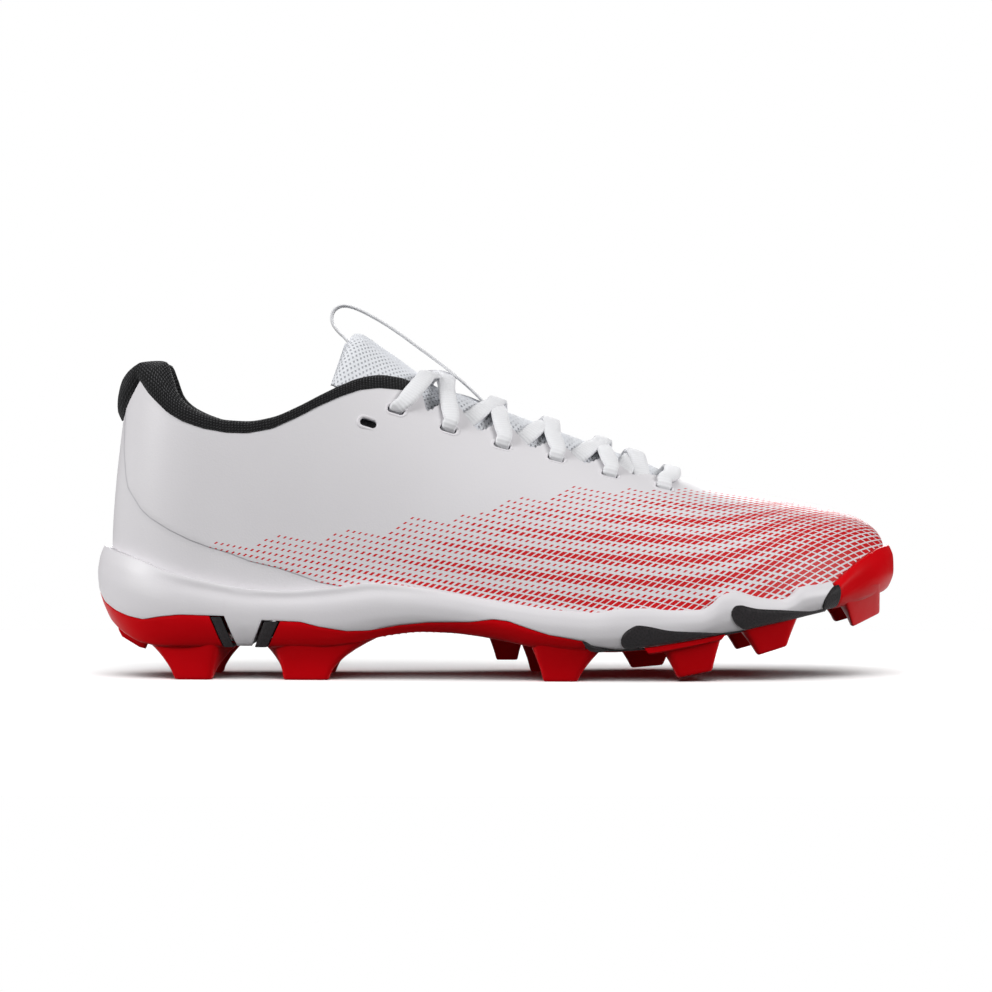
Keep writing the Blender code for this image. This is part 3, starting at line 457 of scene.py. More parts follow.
# Finishes
halftone = {
    "rowByX": 0.0842,  # lattice rows and columns per millimetre of the flat sheet
    "rowByZ": 0.431,
    "columnByX": 0.3565,
    "columnByZ": -0.5015,
    "columnStep": (2.2, -0.43),
    "rowStep": (2.56, 1.82),
    "level": 44.0,  # height on the wall where the sheet and the shoe agree
    # x, stretch of the print round the shoe's cross section, and its rise to the toe
    "fit": ((5, 1, 0), (160, 1, 0), (195, 0.95, 0), (219, 0.92, 0), (235, 0.9, 0),
            (246, 0.89, 0), (252, 0.88, 0.12), (263, 0.85, 1.22), (274, 0.83, 3.64),
            (281.4, 0.8, 6.16), (295.3, 0.75, 13.1)),
    "waveLong": 7.9,  # height between two bands of large dashes
    "bandFoot": 36.1,
    "bandTurn": 217.0,  # where the bands run level
    "bandBack": 0.0008,
    "bandFore": 0.006,
    "growth": (20, 215),  # where the bands' dashes grow towards the toe
    "toeward": (222, 272),  # where all dashes even out over the toe
    "settled": (225, 268),  # where the bands come up to the upper boundary
    "deep": (-1, 17),  # rows under the upper boundary over which the bands fade in
    "small": (0.43, 0.32),  # size of the small dashes, and what the toe adds
    "large": (0.49, 0.72),  # what a band adds, and the share that the toe takes back
    "border": (-0.5, 5, 0.86),  # rows in which the dashes shrink to the boundary, and to what share
    "fill": (0.44, 0.5),  # reach of a full dash in its cell, along columns and rows
    # lattice column where each step of the upper boundary starts, and its highest row
    "steps": ((-40, 0), (-9, 26), (-3, 28), (-2, 29), (5, 31), (6, 32), (12, 36),
              (18, 38), (20, 39), (21, 42), (22, 43), (26, 47), (32.2, 48.8), (35.9, 50.8),
              (38, 53), (40, 55), (43, 57), (47, 60), (52, 64)),
    "columns": 120.0,  # columns and rows that the ramp of steps spans
    "rows": 100.0,
    "ink": (0.52, 0.0015, 0.005),
}


def printMask(wire):
    h = halftone
    x, z = onCloth(wire)
    row = x * h["rowByX"] + z * h["rowByZ"]
    column = x * h["columnByX"] + z * h["columnByZ"]
    rowOff = row.maths("FRACT", row) - 0.5
    columnOff = column.maths("FRACT", column) - 0.5
    midRow = row - rowOff
    midX = x - rowOff * h["rowStep"][0] - columnOff * h["columnStep"][0]
    midZ = z - rowOff * h["rowStep"][1] - columnOff * h["columnStep"][1]
    turn = midX - h["bandTurn"]
    back = turn.maths("MINIMUM", turn, 0.0)
    fore = turn.maths("MAXIMUM", turn, 0.0)
    above = midZ - h["bandFoot"] - back * back * h["bandBack"] - fore * fore * h["bandFore"]
    band = above * (2 * math.pi / h["waveLong"])
    wave = band.maths("COSINE", band) * 0.5 + 0.5
    first = h["steps"][0][0]
    places = [((start - first) / h["columns"], top / h["rows"]) for start, top in h["steps"]]
    along = (column - columnOff - first) / h["columns"]
    stops = {"interpolation": "CONSTANT", "places": places}
    highest = along.node("ShaderNodeValToRGB", {"stops": stops}, {"Fac": along}) * h["rows"]
    under = highest - midRow
    toeward = midX.between(*h["toeward"])
    deep = under.between(*h["deep"])
    settled = deep + (1 - deep) * midX.between(*h["settled"])
    small = h["small"][0] + toeward * h["small"][1]
    gain = midX.between(*h["growth"]) * h["large"][0] * (1 - toeward * h["large"][1]) * settled
    low, high, least = h["border"]
    size = (small + wave * gain) * (least + under.between(low, high) * (1 - least))
    columnIn = columnOff.maths("ABSOLUTE", columnOff)
    rowIn = rowOff.maths("ABSOLUTE", rowOff)
    inside = (columnIn < size * h["fill"][0]) * (rowIn < size * h["fill"][1]) * (midRow < highest)
    seam = wire.node("ShaderNodeAttribute", {"attribute_name": "seam"}, outlet="Fac")
    return inside * (seam > 0.0), seam


def upperFinish():
    finish, shader, wire = newFinish("white_upper_print", (0.66, 0.645, 0.665), 0.42, Specular_IOR_Level=0.3)
    mask, seam = printMask(wire)
    where = place(wire)
    white = noise(wire, where, 30.0).mixed((0.645, 0.628, 0.65, 1), (0.685, 0.672, 0.69, 1))
    # dark line along the counter's seam: partly the printed layer's cut edge, partly painted shadow under its
    # step
    line = seam.maths("ABSOLUTE", seam).between(0.45, 0.05)
    whiteWithSeamShade = (line * 0.32).mixed(white, (0.3, 0.3, 0.33, 1))
    feed(shader, "Base Color", mask.mixed(whiteWithSeamShade, (*halftone["ink"], 1)))
    grain = cells(wire, where, 1500.0) * 0.25 + noise(wire, where, 900.0) * 0.35
    relief = grain + seam.between(-0.25, 0.25) * 3.0 + mask * 0.25
    feed(shader, "Normal", bump(wire, relief, 0.00012, 0.6))
    feed(shader, "Roughness", 0.4 + mask * 0.06 + noise(wire, where, 200.0) * 0.08)
    return finish


def knitFinish():
    finish, shader, wire = newFinish("black_knit_rib", (0.012, 0.012, 0.013), 0.85,
                                     Specular_IOR_Level=0.2, Sheen_Weight=0.05)
    along, across = onCloth(wire)
    lean = across.maths("PINGPONG", across * 0.9, 0.5) * 0.7
    loops = (along + lean).ripple(1.15) * across.ripple(1.05)
    fleck = noise(wire, place(wire), 1100.0)
    light = (loops * fleck * 1.9).between(0.22, 0.7) * (0.35 + across.between(2.0, 7.0) * 0.65)
    feed(shader, "Base Color", light.mixed((0.005, 0.005, 0.0055, 1), (0.085, 0.085, 0.09, 1)))
    feed(shader, "Normal", bump(wire, loops, 0.0005, 0.9))
    feed(shader, "Roughness", 0.9 - loops * 0.2)
    return finish


def meshFinish():
    finish, shader, wire = newFinish("white_air_mesh", (0.74, 0.755, 0.79), 0.75, Specular_IOR_Level=0.2)
    along, across = onCloth(wire)
    row = across / 1.75
    shift = row.maths("FLOORED_MODULO", row.maths("FLOOR", row), 2.0) * 0.5
    cellX = along / 1.95 + shift
    inX = cellX.maths("ABSOLUTE", cellX.maths("FRACT", cellX) - 0.5)
    up = row.maths("FRACT", row)
    tip = inX * 2.2 + row.maths("ABSOLUTE", up - 0.45) * 1.3  # small three-sided holes
    fromCrown = across.maths("ABSOLUTE", across)
    hole = tip.between(0.62, 0.34) * (0.18 + fromCrown.between(5.0, 11.0) * 0.82)
    weave = cells(wire, place(wire), 1500.0)
    white = weave.mixed((0.68, 0.695, 0.73, 1), (0.78, 0.795, 0.825, 1))
    feed(shader, "Base Color", (hole * 0.7).mixed(white, (0.26, 0.27, 0.3, 1)))
    feed(shader, "Normal", bump(wire, weave * 0.15 - hole, 0.0006, 0.8))
    return finish


def laceFinish(name, step, deep, dark):
    finish, shader, wire = newFinish(name, (0.76, 0.765, 0.785), 0.7,
                                     Specular_IOR_Level=0.2, Sheen_Weight=0.1)
    along, across = onCloth(wire)
    rib = along.ripple(step)
    weave = rib * 0.75 + rib * across.ripple(0.8) * 0.25
    feed(shader, "Base Color", weave.mixed((dark, dark, dark + 0.02, 1), (0.775, 0.78, 0.795, 1)))
    feed(shader, "Normal", bump(wire, weave + noise(wire, place(wire), 1500.0) * 0.2, deep, 0.8))
    return finish


def clothFinish(name, colour, scale, dark, light, **sockets):  # plain cloth of the inside
    finish, shader, wire = newFinish(name, colour, 0.9, **sockets)
    weave = cells(wire, place(wire), scale)
    feed(shader, "Base Color", weave.mixed((*dark, 1), (*light, 1)))
    feed(shader, "Normal", bump(wire, weave, 0.0003, 0.7))
    return finish


def satinFinish(name, colour, cloud, dark, light, grain, rough, **sockets):  # moulded foam or rubber
    finish, shader, wire = newFinish(name, colour, 0.45, **sockets)
    where = place(wire)
    feed(shader, "Base Color", noise(wire, where, cloud).mixed((*dark, 1), (*light, 1)))
    feed(shader, "Normal", bump(wire, noise(wire, where, grain[0]), grain[1], 0.5))
    feed(shader, "Roughness", rough[0] + noise(wire, where, rough[1]) * rough[2])
    return finish


def plateFinish():
    finish, shader, wire = newFinish("dark_plate_grain", (0.011, 0.011, 0.013), 0.45, Specular_IOR_Level=0.17)
    grain = cells(wire, place(wire), 1300.0)
    feed(shader, "Base Color", grain.mixed((0.006, 0.0055, 0.006, 1), (0.024, 0.021, 0.023, 1)))
    feed(shader, "Normal", bump(wire, grain, 0.0002, 0.7))
    feed(shader, "Roughness", 0.42 + grain * 0.2)
    return finish


printedUpper = upperFinish()
lining = clothFinish("lining", (0.55, 0.56, 0.6), 900.0, (0.4, 0.41, 0.45), (0.62, 0.63, 0.67))
knit = knitFinish()
airMesh = meshFinish()
# dark cloth of the tongue's lining, also worn by the painted shade pads behind the lace slots
darkLiningAndShade = clothFinish("dark_lining_and_shade_cloth", (0.015, 0.015, 0.017), 1100.0, (0.006, 0.006, 0.007),
                         (0.035, 0.035, 0.038), Specular_IOR_Level=0.2)
woven = laceFinish("white_woven_lace", 1.25, 0.00012, 0.735)
tapeCloth = laceFinish("white_woven_tape", 0.7, 0.00003, 0.74)
foam = satinFinish("white_foam_satin", (0.67, 0.655, 0.675), 45.0, (0.65, 0.632, 0.655),
                   (0.69, 0.675, 0.695), (1400.0, 0.00008), (0.4, 160.0, 0.14))
rubber = satinFinish("red_rubber_satin", (0.56, 0.001, 0.004), 60.0, (0.52, 0.0006, 0.003),
                     (0.6, 0.001, 0.005), (1600.0, 0.00007), (0.32, 220.0, 0.16), Specular_IOR_Level=0.07)
darkPlate = plateFinish()
bedCloth = clothFinish("grey_bed_cloth", (0.2, 0.2, 0.21), 800.0, (0.12, 0.12, 0.13), (0.26, 0.26, 0.27))
print("finishes ready")

# Upper
upperShape = {
    "rows": 58,
    "wall": 2.2,
    "edgeWall": 0.3,  # share of the wall left at the throat edge
    "toothStep": 0.825,
    "toothDeep": 0.7,
    "counterDrop": 0.4,
    "notchX": 123.1,
    "notchPitch": 19.4,
    "notchDeep": 3.7,
    "throatClose": 206.0,
    "throatFront": 223.0,
    "gap": ((123.1, 21.2), (142.5, 20), (180, 20.2), (200, 19.2), (223, 16)),
    # top edge under the collar
    "edge": ((5, 96), (8.7, 103.5), (13, 110.8), (18.5, 105.4), (27, 98.6), (33, 95.4), (41, 92.8),
             (50, 91.2), (58, 91), (67, 92.6), (76, 96.6), (84, 100.8), (92, 104.4), (99, 106.8),
             (106, 107.6), (114, 106.9), (121, 105.2)),
    # where a rib that ends on the throat edge starts at the foot
    "fan": ((123.1, 123.1), (140, 140.5), (160, 162.5), (180, 187), (200, 215), (210.4, 233),
            (215.25, 244.5), (220.1, 257.5), (221.3, 267), (222, 275), (222.45, 281.5), (222.75, 287.5),
            (222.92, 292.2), (223, 295.3)),
    # cut edge of the printed layer over the heel counter, seen from the side
    "seam": ((11, 130), (11, 84), (12, 75), (13.1, 70.1), (18.6, 62.1), (22.3, 59), (29.6, 54.6),
             (36.9, 51.1), (44.2, 48.4), (51.5, 46.3), (58.9, 43.4), (69.8, 40.8), (77.2, 38.3), (84.5, 35.7),
             (91.8, 34.3), (110, 30), (150, 10)),
}
throatGap = curveThrough(upperShape["gap"], 1)
fanFoot = curveThrough(upperShape["fan"], 1)
edgeRows = np.array(upperShape["edge"])


def edgeZ(x):
    return np.interp(x, edgeRows[:, 0], edgeRows[:, 1])


def sideShare(x, side):  # half width of a side against the outer side's
    return halfWidth(x, side) / halfWidth(x, -1)


def throatY(x, side):  # scalloped between the slots and closed at the front
    s = upperShape
    wave = np.cos(2 * math.pi * (x - s["notchX"]) / s["notchPitch"])
    fade = 1 - ease(s["throatClose"] - 8, s["throatClose"] + 4, x)
    gap = (throatGap(x) + s["notchDeep"] * wave * fade) * sideShare(x, side)
    close = np.clip((x - s["throatClose"]) / (s["throatFront"] - s["throatClose"]), 0, 1)
    return ridge(x) + side * gap * np.sqrt(1 - close * close)


def ribPlan():  # foot and top of each rib from heel to toe, the top left out under the collar
    heel = heelStations(27)
    side = np.arange(40.4, 122.0, 1.4)
    tops = np.arange(upperShape["notchX"], 209.0, upperShape["toothStep"])
    manyTops = np.linspace(upperShape["notchX"], upperShape["throatFront"], 60000)
    toeFirst = float(fanFoot(tops[-1]))
    toe = np.array(toeStations(toeFirst, 62)[1:])
    feet = np.concatenate([heel, side, fanFoot(tops), toe])
    toeTops = np.interp(toe, fanFoot(manyTops), manyTops)
    ends = np.concatenate([np.full(len(heel) + len(side), np.nan), tops, toeTops])
    return feet, ends, len(heel) + len(side), len(tops)


def ribLine(start, top, side, rows):  # even points from the foot bed to the top edge
    t = np.linspace(0, 1, 150)
    if np.isnan(top):
        line = skin(start, angleAtZ(start, edgeZ(start)) * t, side)
        return evenly(line, rows)
    footY = float(ridge(start) + side * halfWidth(start, side))
    endY = float(throatY(top, side))
    reach = float(angleAtY(top, endY, side))
    p = 2 / power(top)
    rise = 1 - np.maximum(np.cos(reach * t), 0) ** p
    rise = rise / rise[-1]
    x = start + (top - start) * rise
    y = footY + (endY - footY) * rise
    z = arch(x, y)
    z[0] = footBed(start)
    return evenly(np.stack([x + heelLean(x, z), y, z], -1), rows)


def sectionRuns(side):  # arc lengths round each section from the print's level, equal at the crown
    stations = np.linspace(last["heelX"] + 0.5, last["toeX"] - 0.5, 291)
    turn = np.linspace(0, math.pi / 2, 240)
    rows = []
    for x in stations:
        runs = []
        for flank in (side, -1):
            line = skin(x, turn, flank)
            run = runAlong(line[:, 1:])
            runs.append(run - np.interp(halftone["level"], line[:, 2], run))
        rows.append(runs[0] * (runs[1][-1] + 1e-6) / (runs[0][-1] + 1e-6))
    return stations, turn, np.array(rows)


def onPrint(ribs, side):  # places of the ribs' points on the print
    stations, turn, runs = sectionRuns(side)
    ribs = np.array(ribs)
    x = np.clip(ribs[..., 0], stations[0], stations[-1])
    i = (x - stations[0]) / (stations[1] - stations[0])
    n = power(x) / 2
    up = riseShare(x, ribs[..., 2]) ** n
    out = acrossShare(x, ribs[..., 1], side) ** n
    j = np.clip(np.arctan2(up, out) / turn[1], 0, len(turn) - 1.001)
    a = np.minimum(i.astype(int), len(stations) - 2)
    b = j.astype(int)
    u = i - a
    v = j - b
    away = ((runs[a, b] * (1 - u) + runs[a + 1, b] * u) * (1 - v)
            + (runs[a, b + 1] * (1 - u) + runs[a + 1, b + 1] * u) * v)
    stretch, rise = [curveThrough(halftone["fit"], k)(ribs[..., 0]) for k in (1, 2)]
    return np.stack([ribs[..., 0], halftone["level"] + rise + stretch * away], -1)


def seamAway(points):  # signed distance from the counter's seam, positive on the printed side
    line = np.array(upperShape["seam"])
    here = points[..., [0, 2]]
    best = np.full(here.shape[:-1], 1e9)
    sign = np.ones(here.shape[:-1])
    for a, b in zip(line[:-1], line[1:]):
        run = b - a
        t = np.clip(((here - a) @ run) / (run @ run), 0, 1)
        gap = here - (a + t[..., None] * run)
        far = np.linalg.norm(gap, axis=-1)
        turn = run[0] * (here[..., 1] - a[1]) - run[1] * (here[..., 0] - a[0])
        closer = far < best
        best = np.where(closer, far, best)
        sign = np.where(closer, np.where(turn > 0, 1, -1), sign)
    return np.clip(best * sign, -8, 8)


def ringNormals(table):  # outward directions on a ring of ribs
    around = np.roll(table, -1, axis=0) - np.roll(table, 1, axis=0)
    up = np.gradient(table, axis=1)
    normal = np.cross(around, up)
    normal[:, 0, 2] = 0.0
    return unit(normal)


slotShape = {
    "long": 6.8,
    "high": 3.4,
    "rim": 0.75,
    "rimOut": 0.45,
    "sink": 0.58,  # how deep the rims sit in the wall
    "shadePadRound": 3.2,  # painted shade: dark pads set behind the slots so their insides look dark
    "shadePadFlat": 0.14,
    "shadePadSink": 2.9,
    # from the top lock slot to the toe
    "places": ((102.2, 94), (112.2, 98.9), (131.4, 92), (151.2, 86), (171, 81.2), (190.9, 75.3),
               (211, 70.6)),
}


def slotFrame(index, side):  # centre, long direction, across direction and normal of one lace slot
    places = slotShape["places"]
    x, z = places[index]
    here = skin(x, angleAtZ(x, z), side)
    near = min(max(index, 2), len(places) - 2)
    xa, za = places[near - 1] if near > 2 else places[near]
    xb, zb = places[near + 1]
    long = unit(skin(xb, angleAtZ(xb, zb), side) - skin(xa, angleAtZ(xa, za), side))
    up = skin(x, angleAtZ(x, z + 1), side) - skin(x, angleAtZ(x, z - 1), side)
    normal = unit(np.cross(long, up) * -side)
    if normal[1] * side < 0:
        normal = -normal
    across = unit(np.cross(normal, long))
    return here, long, across, normal


def setOnSlot(piece, index, side):  # moves a piece modelled in millimetres at the origin to a slot
    here, long, across, normal = slotFrame(index, side)
    mesh = piece.data
    flat = pointsOf(mesh)
    moved = here + flat[:, :1] * long + flat[:, 1:2] * across + flat[:, 2:] * normal
    mesh.vertices.foreach_set("co", toRow(moved).ravel())
    mesh.update()


def stretchSlot(piece, flat):  # parts a round piece in the middle to a slot's length
    editAll(piece)
    leaveEdit()
    for sign in (-1, 1):
        for v in piece.data.vertices:
            v.select = v.co.x * sign > 1e-4
        for e in piece.data.edges:
            e.select = False
        for f in piece.data.polygons:
            f.select = False
        bpy.ops.object.mode_set(mode="EDIT")
        bpy.ops.transform.translate(value=(flat * sign, 0, 0))
        leaveEdit()


def onEachSlot(name, add, **shape):  # a round primitive set on every slot and stretched to its length
    flat = slotShape["long"] / 2 - slotShape["high"] / 2
    made = []
    for side in (-1, 1):
        for index in range(len(slotShape["places"])):
            clearSelection()
            add(**shape)
            bpy.ops.object.transform_apply(location=True, rotation=True, scale=True)
            made.append(bpy.context.object)
            stretchSlot(made[-1], flat)
            setOnSlot(made[-1], index, side)
    piece = joinPieces(name, made)
    faceOutward(piece)
    return piece


def makeSlots(upper):
    s = slotShape
    half = s["high"] / 2
    cutter = onEachSlot("slotCutter", bpy.ops.mesh.primitive_cylinder_add, vertices=30, radius=half, depth=12,
                        rotation=(0, 0, math.pi / 30))
    wear(cutter, lining)
    applyModifier(upper, "BOOLEAN", operation="DIFFERENCE", solver="EXACT", object=cutter)
    bpy.data.objects.remove(cutter, do_unlink=True)
    rim = onEachSlot("slotRims", bpy.ops.mesh.primitive_torus_add, major_radius=half + s["rimOut"],
                     minor_radius=s["rim"], major_segments=38, minor_segments=12,
                     location=(0, 0, -s["sink"]), rotation=(0, 0, math.pi / 38))
    # painted shade: a flat dark pad behind each slot darkens the slot's inside
    back = onEachSlot("slotShadePads", bpy.ops.mesh.primitive_uv_sphere_add, segments=24, ring_count=8,
                      radius=s["shadePadRound"], scale=(1, 1, s["shadePadFlat"]), location=(0, 0, -s["shadePadSink"]),
                      rotation=(0, 0, math.pi / 24))
    return rim, back


def makeUpper():
    s = upperShape
    feet, tops, firstThroat, throatCount = ribPlan()
    lines = []
    sheets = []
    for side in (-1, 1):
        ribs = []
        plain = []
        for k, (start, top) in enumerate(zip(feet, tops)):
            line = ribLine(start, top, side, s["rows"])
            plain.append(line.copy())
            tooth = k - firstThroat
            if 0 <= tooth < throatCount and tooth % 2:
                line[-1] += unit(line[-2] - line[-1]) * s["toothDeep"]
            ribs.append(line)
        lines.append(ribs)
        sheets.append(onPrint(plain, side))
    table = np.array(lines[0] + lines[1][-2::-1])
    sheet = np.concatenate([sheets[0], sheets[1][-2::-1]])
    seam = seamAway(table)
    outward = ringNormals(table[:-1])
    outward = np.concatenate([outward, outward[:1]])
    dent = -s["counterDrop"] * ease(0.6, -0.6, seam)
    table = table + outward * dent[..., None]
    upper = latticePiece("upperShell", table, sheet / 100, outward=False)
    mesh = upper.data
    # the seam distance and the wall's share ride on the points
    places = pointsOf(mesh) * 1000 - (heelShift, axisShift, 0.0)
    away = mesh.attributes.new("seam", "FLOAT", "POINT")
    away.data.foreach_set("value", seamAway(places).astype(np.float32))
    edge = table[table[:, -1, 0] > s["notchX"] - 1, -1]
    thin = upper.vertex_groups.new(name="wall")  # the wall thins out to the throat edge
    for start in range(0, len(places), 2000):
        part = places[start:start + 2000]
        far = np.linalg.norm(part[:, None] - edge[None], axis=2).min(axis=1)
        share = s["edgeWall"] + (1 - s["edgeWall"]) * ease(0.3, 5.0, far)
        for k in np.nonzero(share < 0.999)[0]:
            thin.add([int(start + k)], float(share[k]), "REPLACE")
        thin.add([int(start + k) for k in np.nonzero(share >= 0.999)[0]], 1.0, "REPLACE")
    return upper


upperShell = makeUpper()
wear(upperShell, printedUpper, lining)
applyModifier(upperShell, "SOLIDIFY", thickness=upperShape["wall"] / 1000, offset=-1.0, use_rim=True,
              material_offset=1, material_offset_rim=0, vertex_group="wall")
slotRims, slotShadePads = makeSlots(upperShell)
smoothShade(upperShell, 35)
fit(upperShell, "white_upper", "upper")
dress(slotRims, foam, 40, "white_upper")
# the dark pads behind the slots are painted shade
dress(slotShadePads, darkLiningAndShade, 40, "black_knit")
print("upper done", len(upperShell.data.polygons))

# Collar
collarShape = {
    "around": 52,
    "wall": 2.2,
    "innerBack": 2.4,  # how much nearer the heel the tab's slope is on the inner side
    "puff": (0.8, 3),  # how far the pad stands out, and how much more at the heel tab
    "end": ((0.86, 0.9), (0.55, 1.5), (0.2, 1.7)),  # shares of the section that round off its front ends
    # x, top line, inward lean of the top, thickness, depth of the inside
    "rows": ((5, 118.6, 9, 6.8, 15), (11, 118.8, 6.6, 6.8, 15), (20.2, 117.7, 4.4, 7.2, 15),
             (25, 112.6, 3, 7, 15), (29, 106.2, 1.8, 6.6, 15), (34, 101.6, 0.9, 6.2, 15),
             (41, 97.9, 0.3, 5.8, 15), (50, 95.3, 0, 5.6, 15), (58, 94.9, 0, 5.6, 15),
             (67, 96.4, 0, 5.6, 15), (76, 100.2, 0, 5.4, 14), (84, 104.4, 0, 5, 12),
             (92, 108.4, 0, 4.6, 10), (99, 111.2, 0, 4.2, 8), (106, 112.4, 0, 4, 7),
             (114, 111.4, 0, 3.8, 6), (119.5, 109, 0, 3.6, 5)),
}
collarTop, collarIn, collarThick, collarDeep = [curveThrough(collarShape["rows"], k) for k in range(1, 5)]


def collarSection(x, side):
    z = float(edgeZ(x))
    angle = float(angleAtZ(x, z))
    here = skin(x, angle, side)
    up = unit(skin(x, angle + 0.01, side) - skin(x, angle - 0.01, side))
    plan = footPoint(x, side)[1]
    out = np.array([plan[0], plan[1], 0.0])
    out = unit(out - up * out.dot(up))
    back = collarShape["innerBack"] * float(ease(45.0, 25.0, x)) * (side > 0)
    tall = (float(collarTop(x + back)) - z) / up[2]
    bulk = float(collarThick(x))
    deep = float(collarDeep(x))
    wall = collarShape["wall"]
    puff = collarShape["puff"][0] + collarShape["puff"][1] * float(ease(31.0, 6.0, x))
    shape = (
        (0.25, -0.8),
        (puff * 0.6, 0.12 * tall),
        (puff * 0.87, 0.4 * tall),
        (puff, 0.7 * tall),
        (-bulk * 0.3, tall),
        (-bulk * 0.85, 0.8 * tall),
        (-bulk, 0.3 * tall - 1),
        (-bulk, -deep * 0.5),
        (-max(bulk * 0.75, wall + 1.5), -deep),
        (-wall - 1.0, -deep * 0.9),
        (-wall - 0.9, 0.3),
    )
    made = []
    for across, along in shape:
        root = here + up * along
        if along < 0:
            root = skin(x, angleAtZ(x, z + along * up[2]), side)
        tip = max(along / tall, 0.0) ** 3
        made.append(root + out * (across - float(collarIn(x)) * tip))
    made.append(made[0])
    return alongPath(made, collarShape["around"], 0.42)


def makeCollar():
    stations = heelStations(30) + list(np.arange(40.5, 119.0, 1.5))
    loops = [collarSection(x, -1) for x in stations[::-1]]
    loops += [collarSection(x, 1) for x in stations[1:]]
    for end, first in ((0, True), (-1, False)):  # rounds off both ends
        middle = loops[end].mean(axis=0)
        lead = loops[0].mean(axis=0) - loops[1].mean(axis=0) if first else middle - loops[-2].mean(axis=0)
        lead = unit(lead)
        extra = [middle + (loops[end] - middle) * k + lead * d for k, d in collarShape["end"]]
        loops = extra[::-1] + loops if first else loops + extra
    table = np.array(loops)
    sheet = clothSheet(runAlong(table.mean(axis=1)), runAlong(table[len(table) // 3]))
    return latticePiece("collarPad", table, sheet, capped=True)


collarPad = makeCollar()
dress(collarPad, knit, 60, "black_knit", "collar")
print("collar done")

# Tongue
tongueShape = {
    "across": 45,
    "wall": 2.2,
    "swell": 3.4,  # how far it puffs up between the shell's edges
    "tip": (93.4, 93.45, 93.6, 93.8, 94.2, 94.7, 95.4, 96.2, 97.2, 98.4, 99.8),  # stations of the rounded top
    # x, crown, share of the last's half width, fall of the edges, backward sweep, thickness
    "rows": ((93.4, 123.4, 0.36, 15, 0.34, 1), (93.8, 125.4, 0.38, 16.5, 0.35, 2.6),
             (94.8, 127.2, 0.4, 18.2, 0.36, 4), (96.4, 128.2, 0.42, 19.2, 0.37, 5),
             (98.6, 127.9, 0.44, 19.8, 0.38, 5.4), (101.4, 126.4, 0.45, 20, 0.38, 5.6),
             (105, 123.8, 0.47, 20, 0.38, 5.8), (112, 119, 0.49, 19.4, 0.36, 5.8),
             (122, 111.6, 0.53, 18, 0.28, 5.4), (132, 105, 0.62, 18, 0.12, 4.8),
             (145, 99, 0.7, 16, 0, 4), (170, 89, 0.7, 15, 0, 3.4),
             (200, 78, 0.68, 13, 0, 3), (229, 67, 0.55, 12, 0, 2.2)),
}
tongueParts = [curveThrough(tongueShape["rows"], k) for k in range(1, 6)]


def tucked(x, y):  # height of the tongue where it lies under the shell
    along, across = archSlopes(x, y, 0.5)
    thick = (tongueShape["wall"] + 1.1) * np.sqrt(1 + along * along + across * across)
    between = np.clip(1 - ((y - ridge(x)) / throatGap(x)) ** 2, 0, 1)
    between = between * ease(124.0, 140.0, x) * ease(226.0, 204.0, x)
    return arch(x, y) - thick + tongueShape["swell"] * between


def tongueSection(x):
    crownZ, share, fall, sweep, thick = [float(part(x)) for part in tongueParts]
    s = np.linspace(-1, 1, tongueShape["across"])
    half = share * halfWidth(x, s)
    y = ridge(x) + half * s
    drop = fall * s * s
    tuck = float(ease(118.0, 130.0, x))
    z = (crownZ - drop) * (1 - tuck) + tucked(x, y) * tuck
    slope = 2 * fall * s / half
    lead = 0.55 * (1 - float(ease(112.0, 140.0, x))) + 0.35
    body = unit(np.stack([np.full(len(s), lead), slope * 0.9, np.ones(len(s))], -1))
    edge = thick * (1 - 0.5 * np.abs(s) ** 3)
    outer = np.stack([x - sweep * drop, y, z], -1)
    inner = outer - body * edge[:, None]
    rolls = []
    for k in (-1, 0):  # rounded side edges
        side = unit(np.array([0.0, y[k] - float(ridge(x)), -0.6]))
        rolls.append((outer[k] + inner[k]) / 2 + side * edge[k] * 0.45)
    return np.vstack([outer, rolls[0][None], inner[::-1], rolls[1][None], outer[:1]])


def makeTongue():
    stations = np.concatenate([tongueShape["tip"], np.arange(101.2, 229.0, 1.5)])
    table = np.array([tongueSection(x) for x in stations])
    count = tongueShape["across"]
    steps = np.linalg.norm(np.diff(table[:, :count], axis=1), axis=2).mean(axis=0)
    fold = np.concatenate([[0], np.cumsum(steps)])
    fold = fold - fold[-1] / 2  # distance from the crown line
    across = np.concatenate([fold, fold[-1:] + 1, fold[::-1], fold[:1] - 1, fold[:1]])
    piece = latticePiece("tonguePad", table, clothSheet(runAlong(table[:, count // 2]), across), capped=True)
    middle = (axisShift + loopMiddle) / 1000
    for face in piece.data.polygons:  # the side against the foot is lined
        lean = face.center.y - middle
        face.material_index = 1 if face.normal.z < -0.15 or face.normal.y * lean < -0.004 else 0
    return piece


tonguePad = makeTongue()
wear(tonguePad, airMesh, darkLiningAndShade)
smoothShade(tonguePad, 50)
fit(tonguePad, "white_mesh", "tongue")
print("tongue done")


# Tapes
def tape(name, path, acrossHint, wide, thick, around=14):  # flat woven band with rounded edges
    path = np.asarray(path)
    along = unit(np.gradient(path, axis=0))
    hint = np.broadcast_to(np.asarray(acrossHint, float), path.shape)
    across = unit(hint - along * np.sum(hint * along, axis=1, keepdims=True))
    up = np.cross(across, along)
    wide = np.broadcast_to(wide, (len(path),))
    turn = np.linspace(0, 2 * math.pi, around + 1)
    flatX = np.sign(np.cos(turn)) * np.abs(np.cos(turn)) ** 0.6
    flatY = np.sign(np.sin(turn)) * np.abs(np.sin(turn)) ** 0.7
    table = (path[:, None] + across[:, None] * (flatX[None, :, None] * wide[:, None, None] / 2)
             + up[:, None] * (flatY[None, :, None] * thick / 2))
    return latticePiece(name, table, clothSheet(runAlong(path), flatX * wide.max() / 2), capped=True)


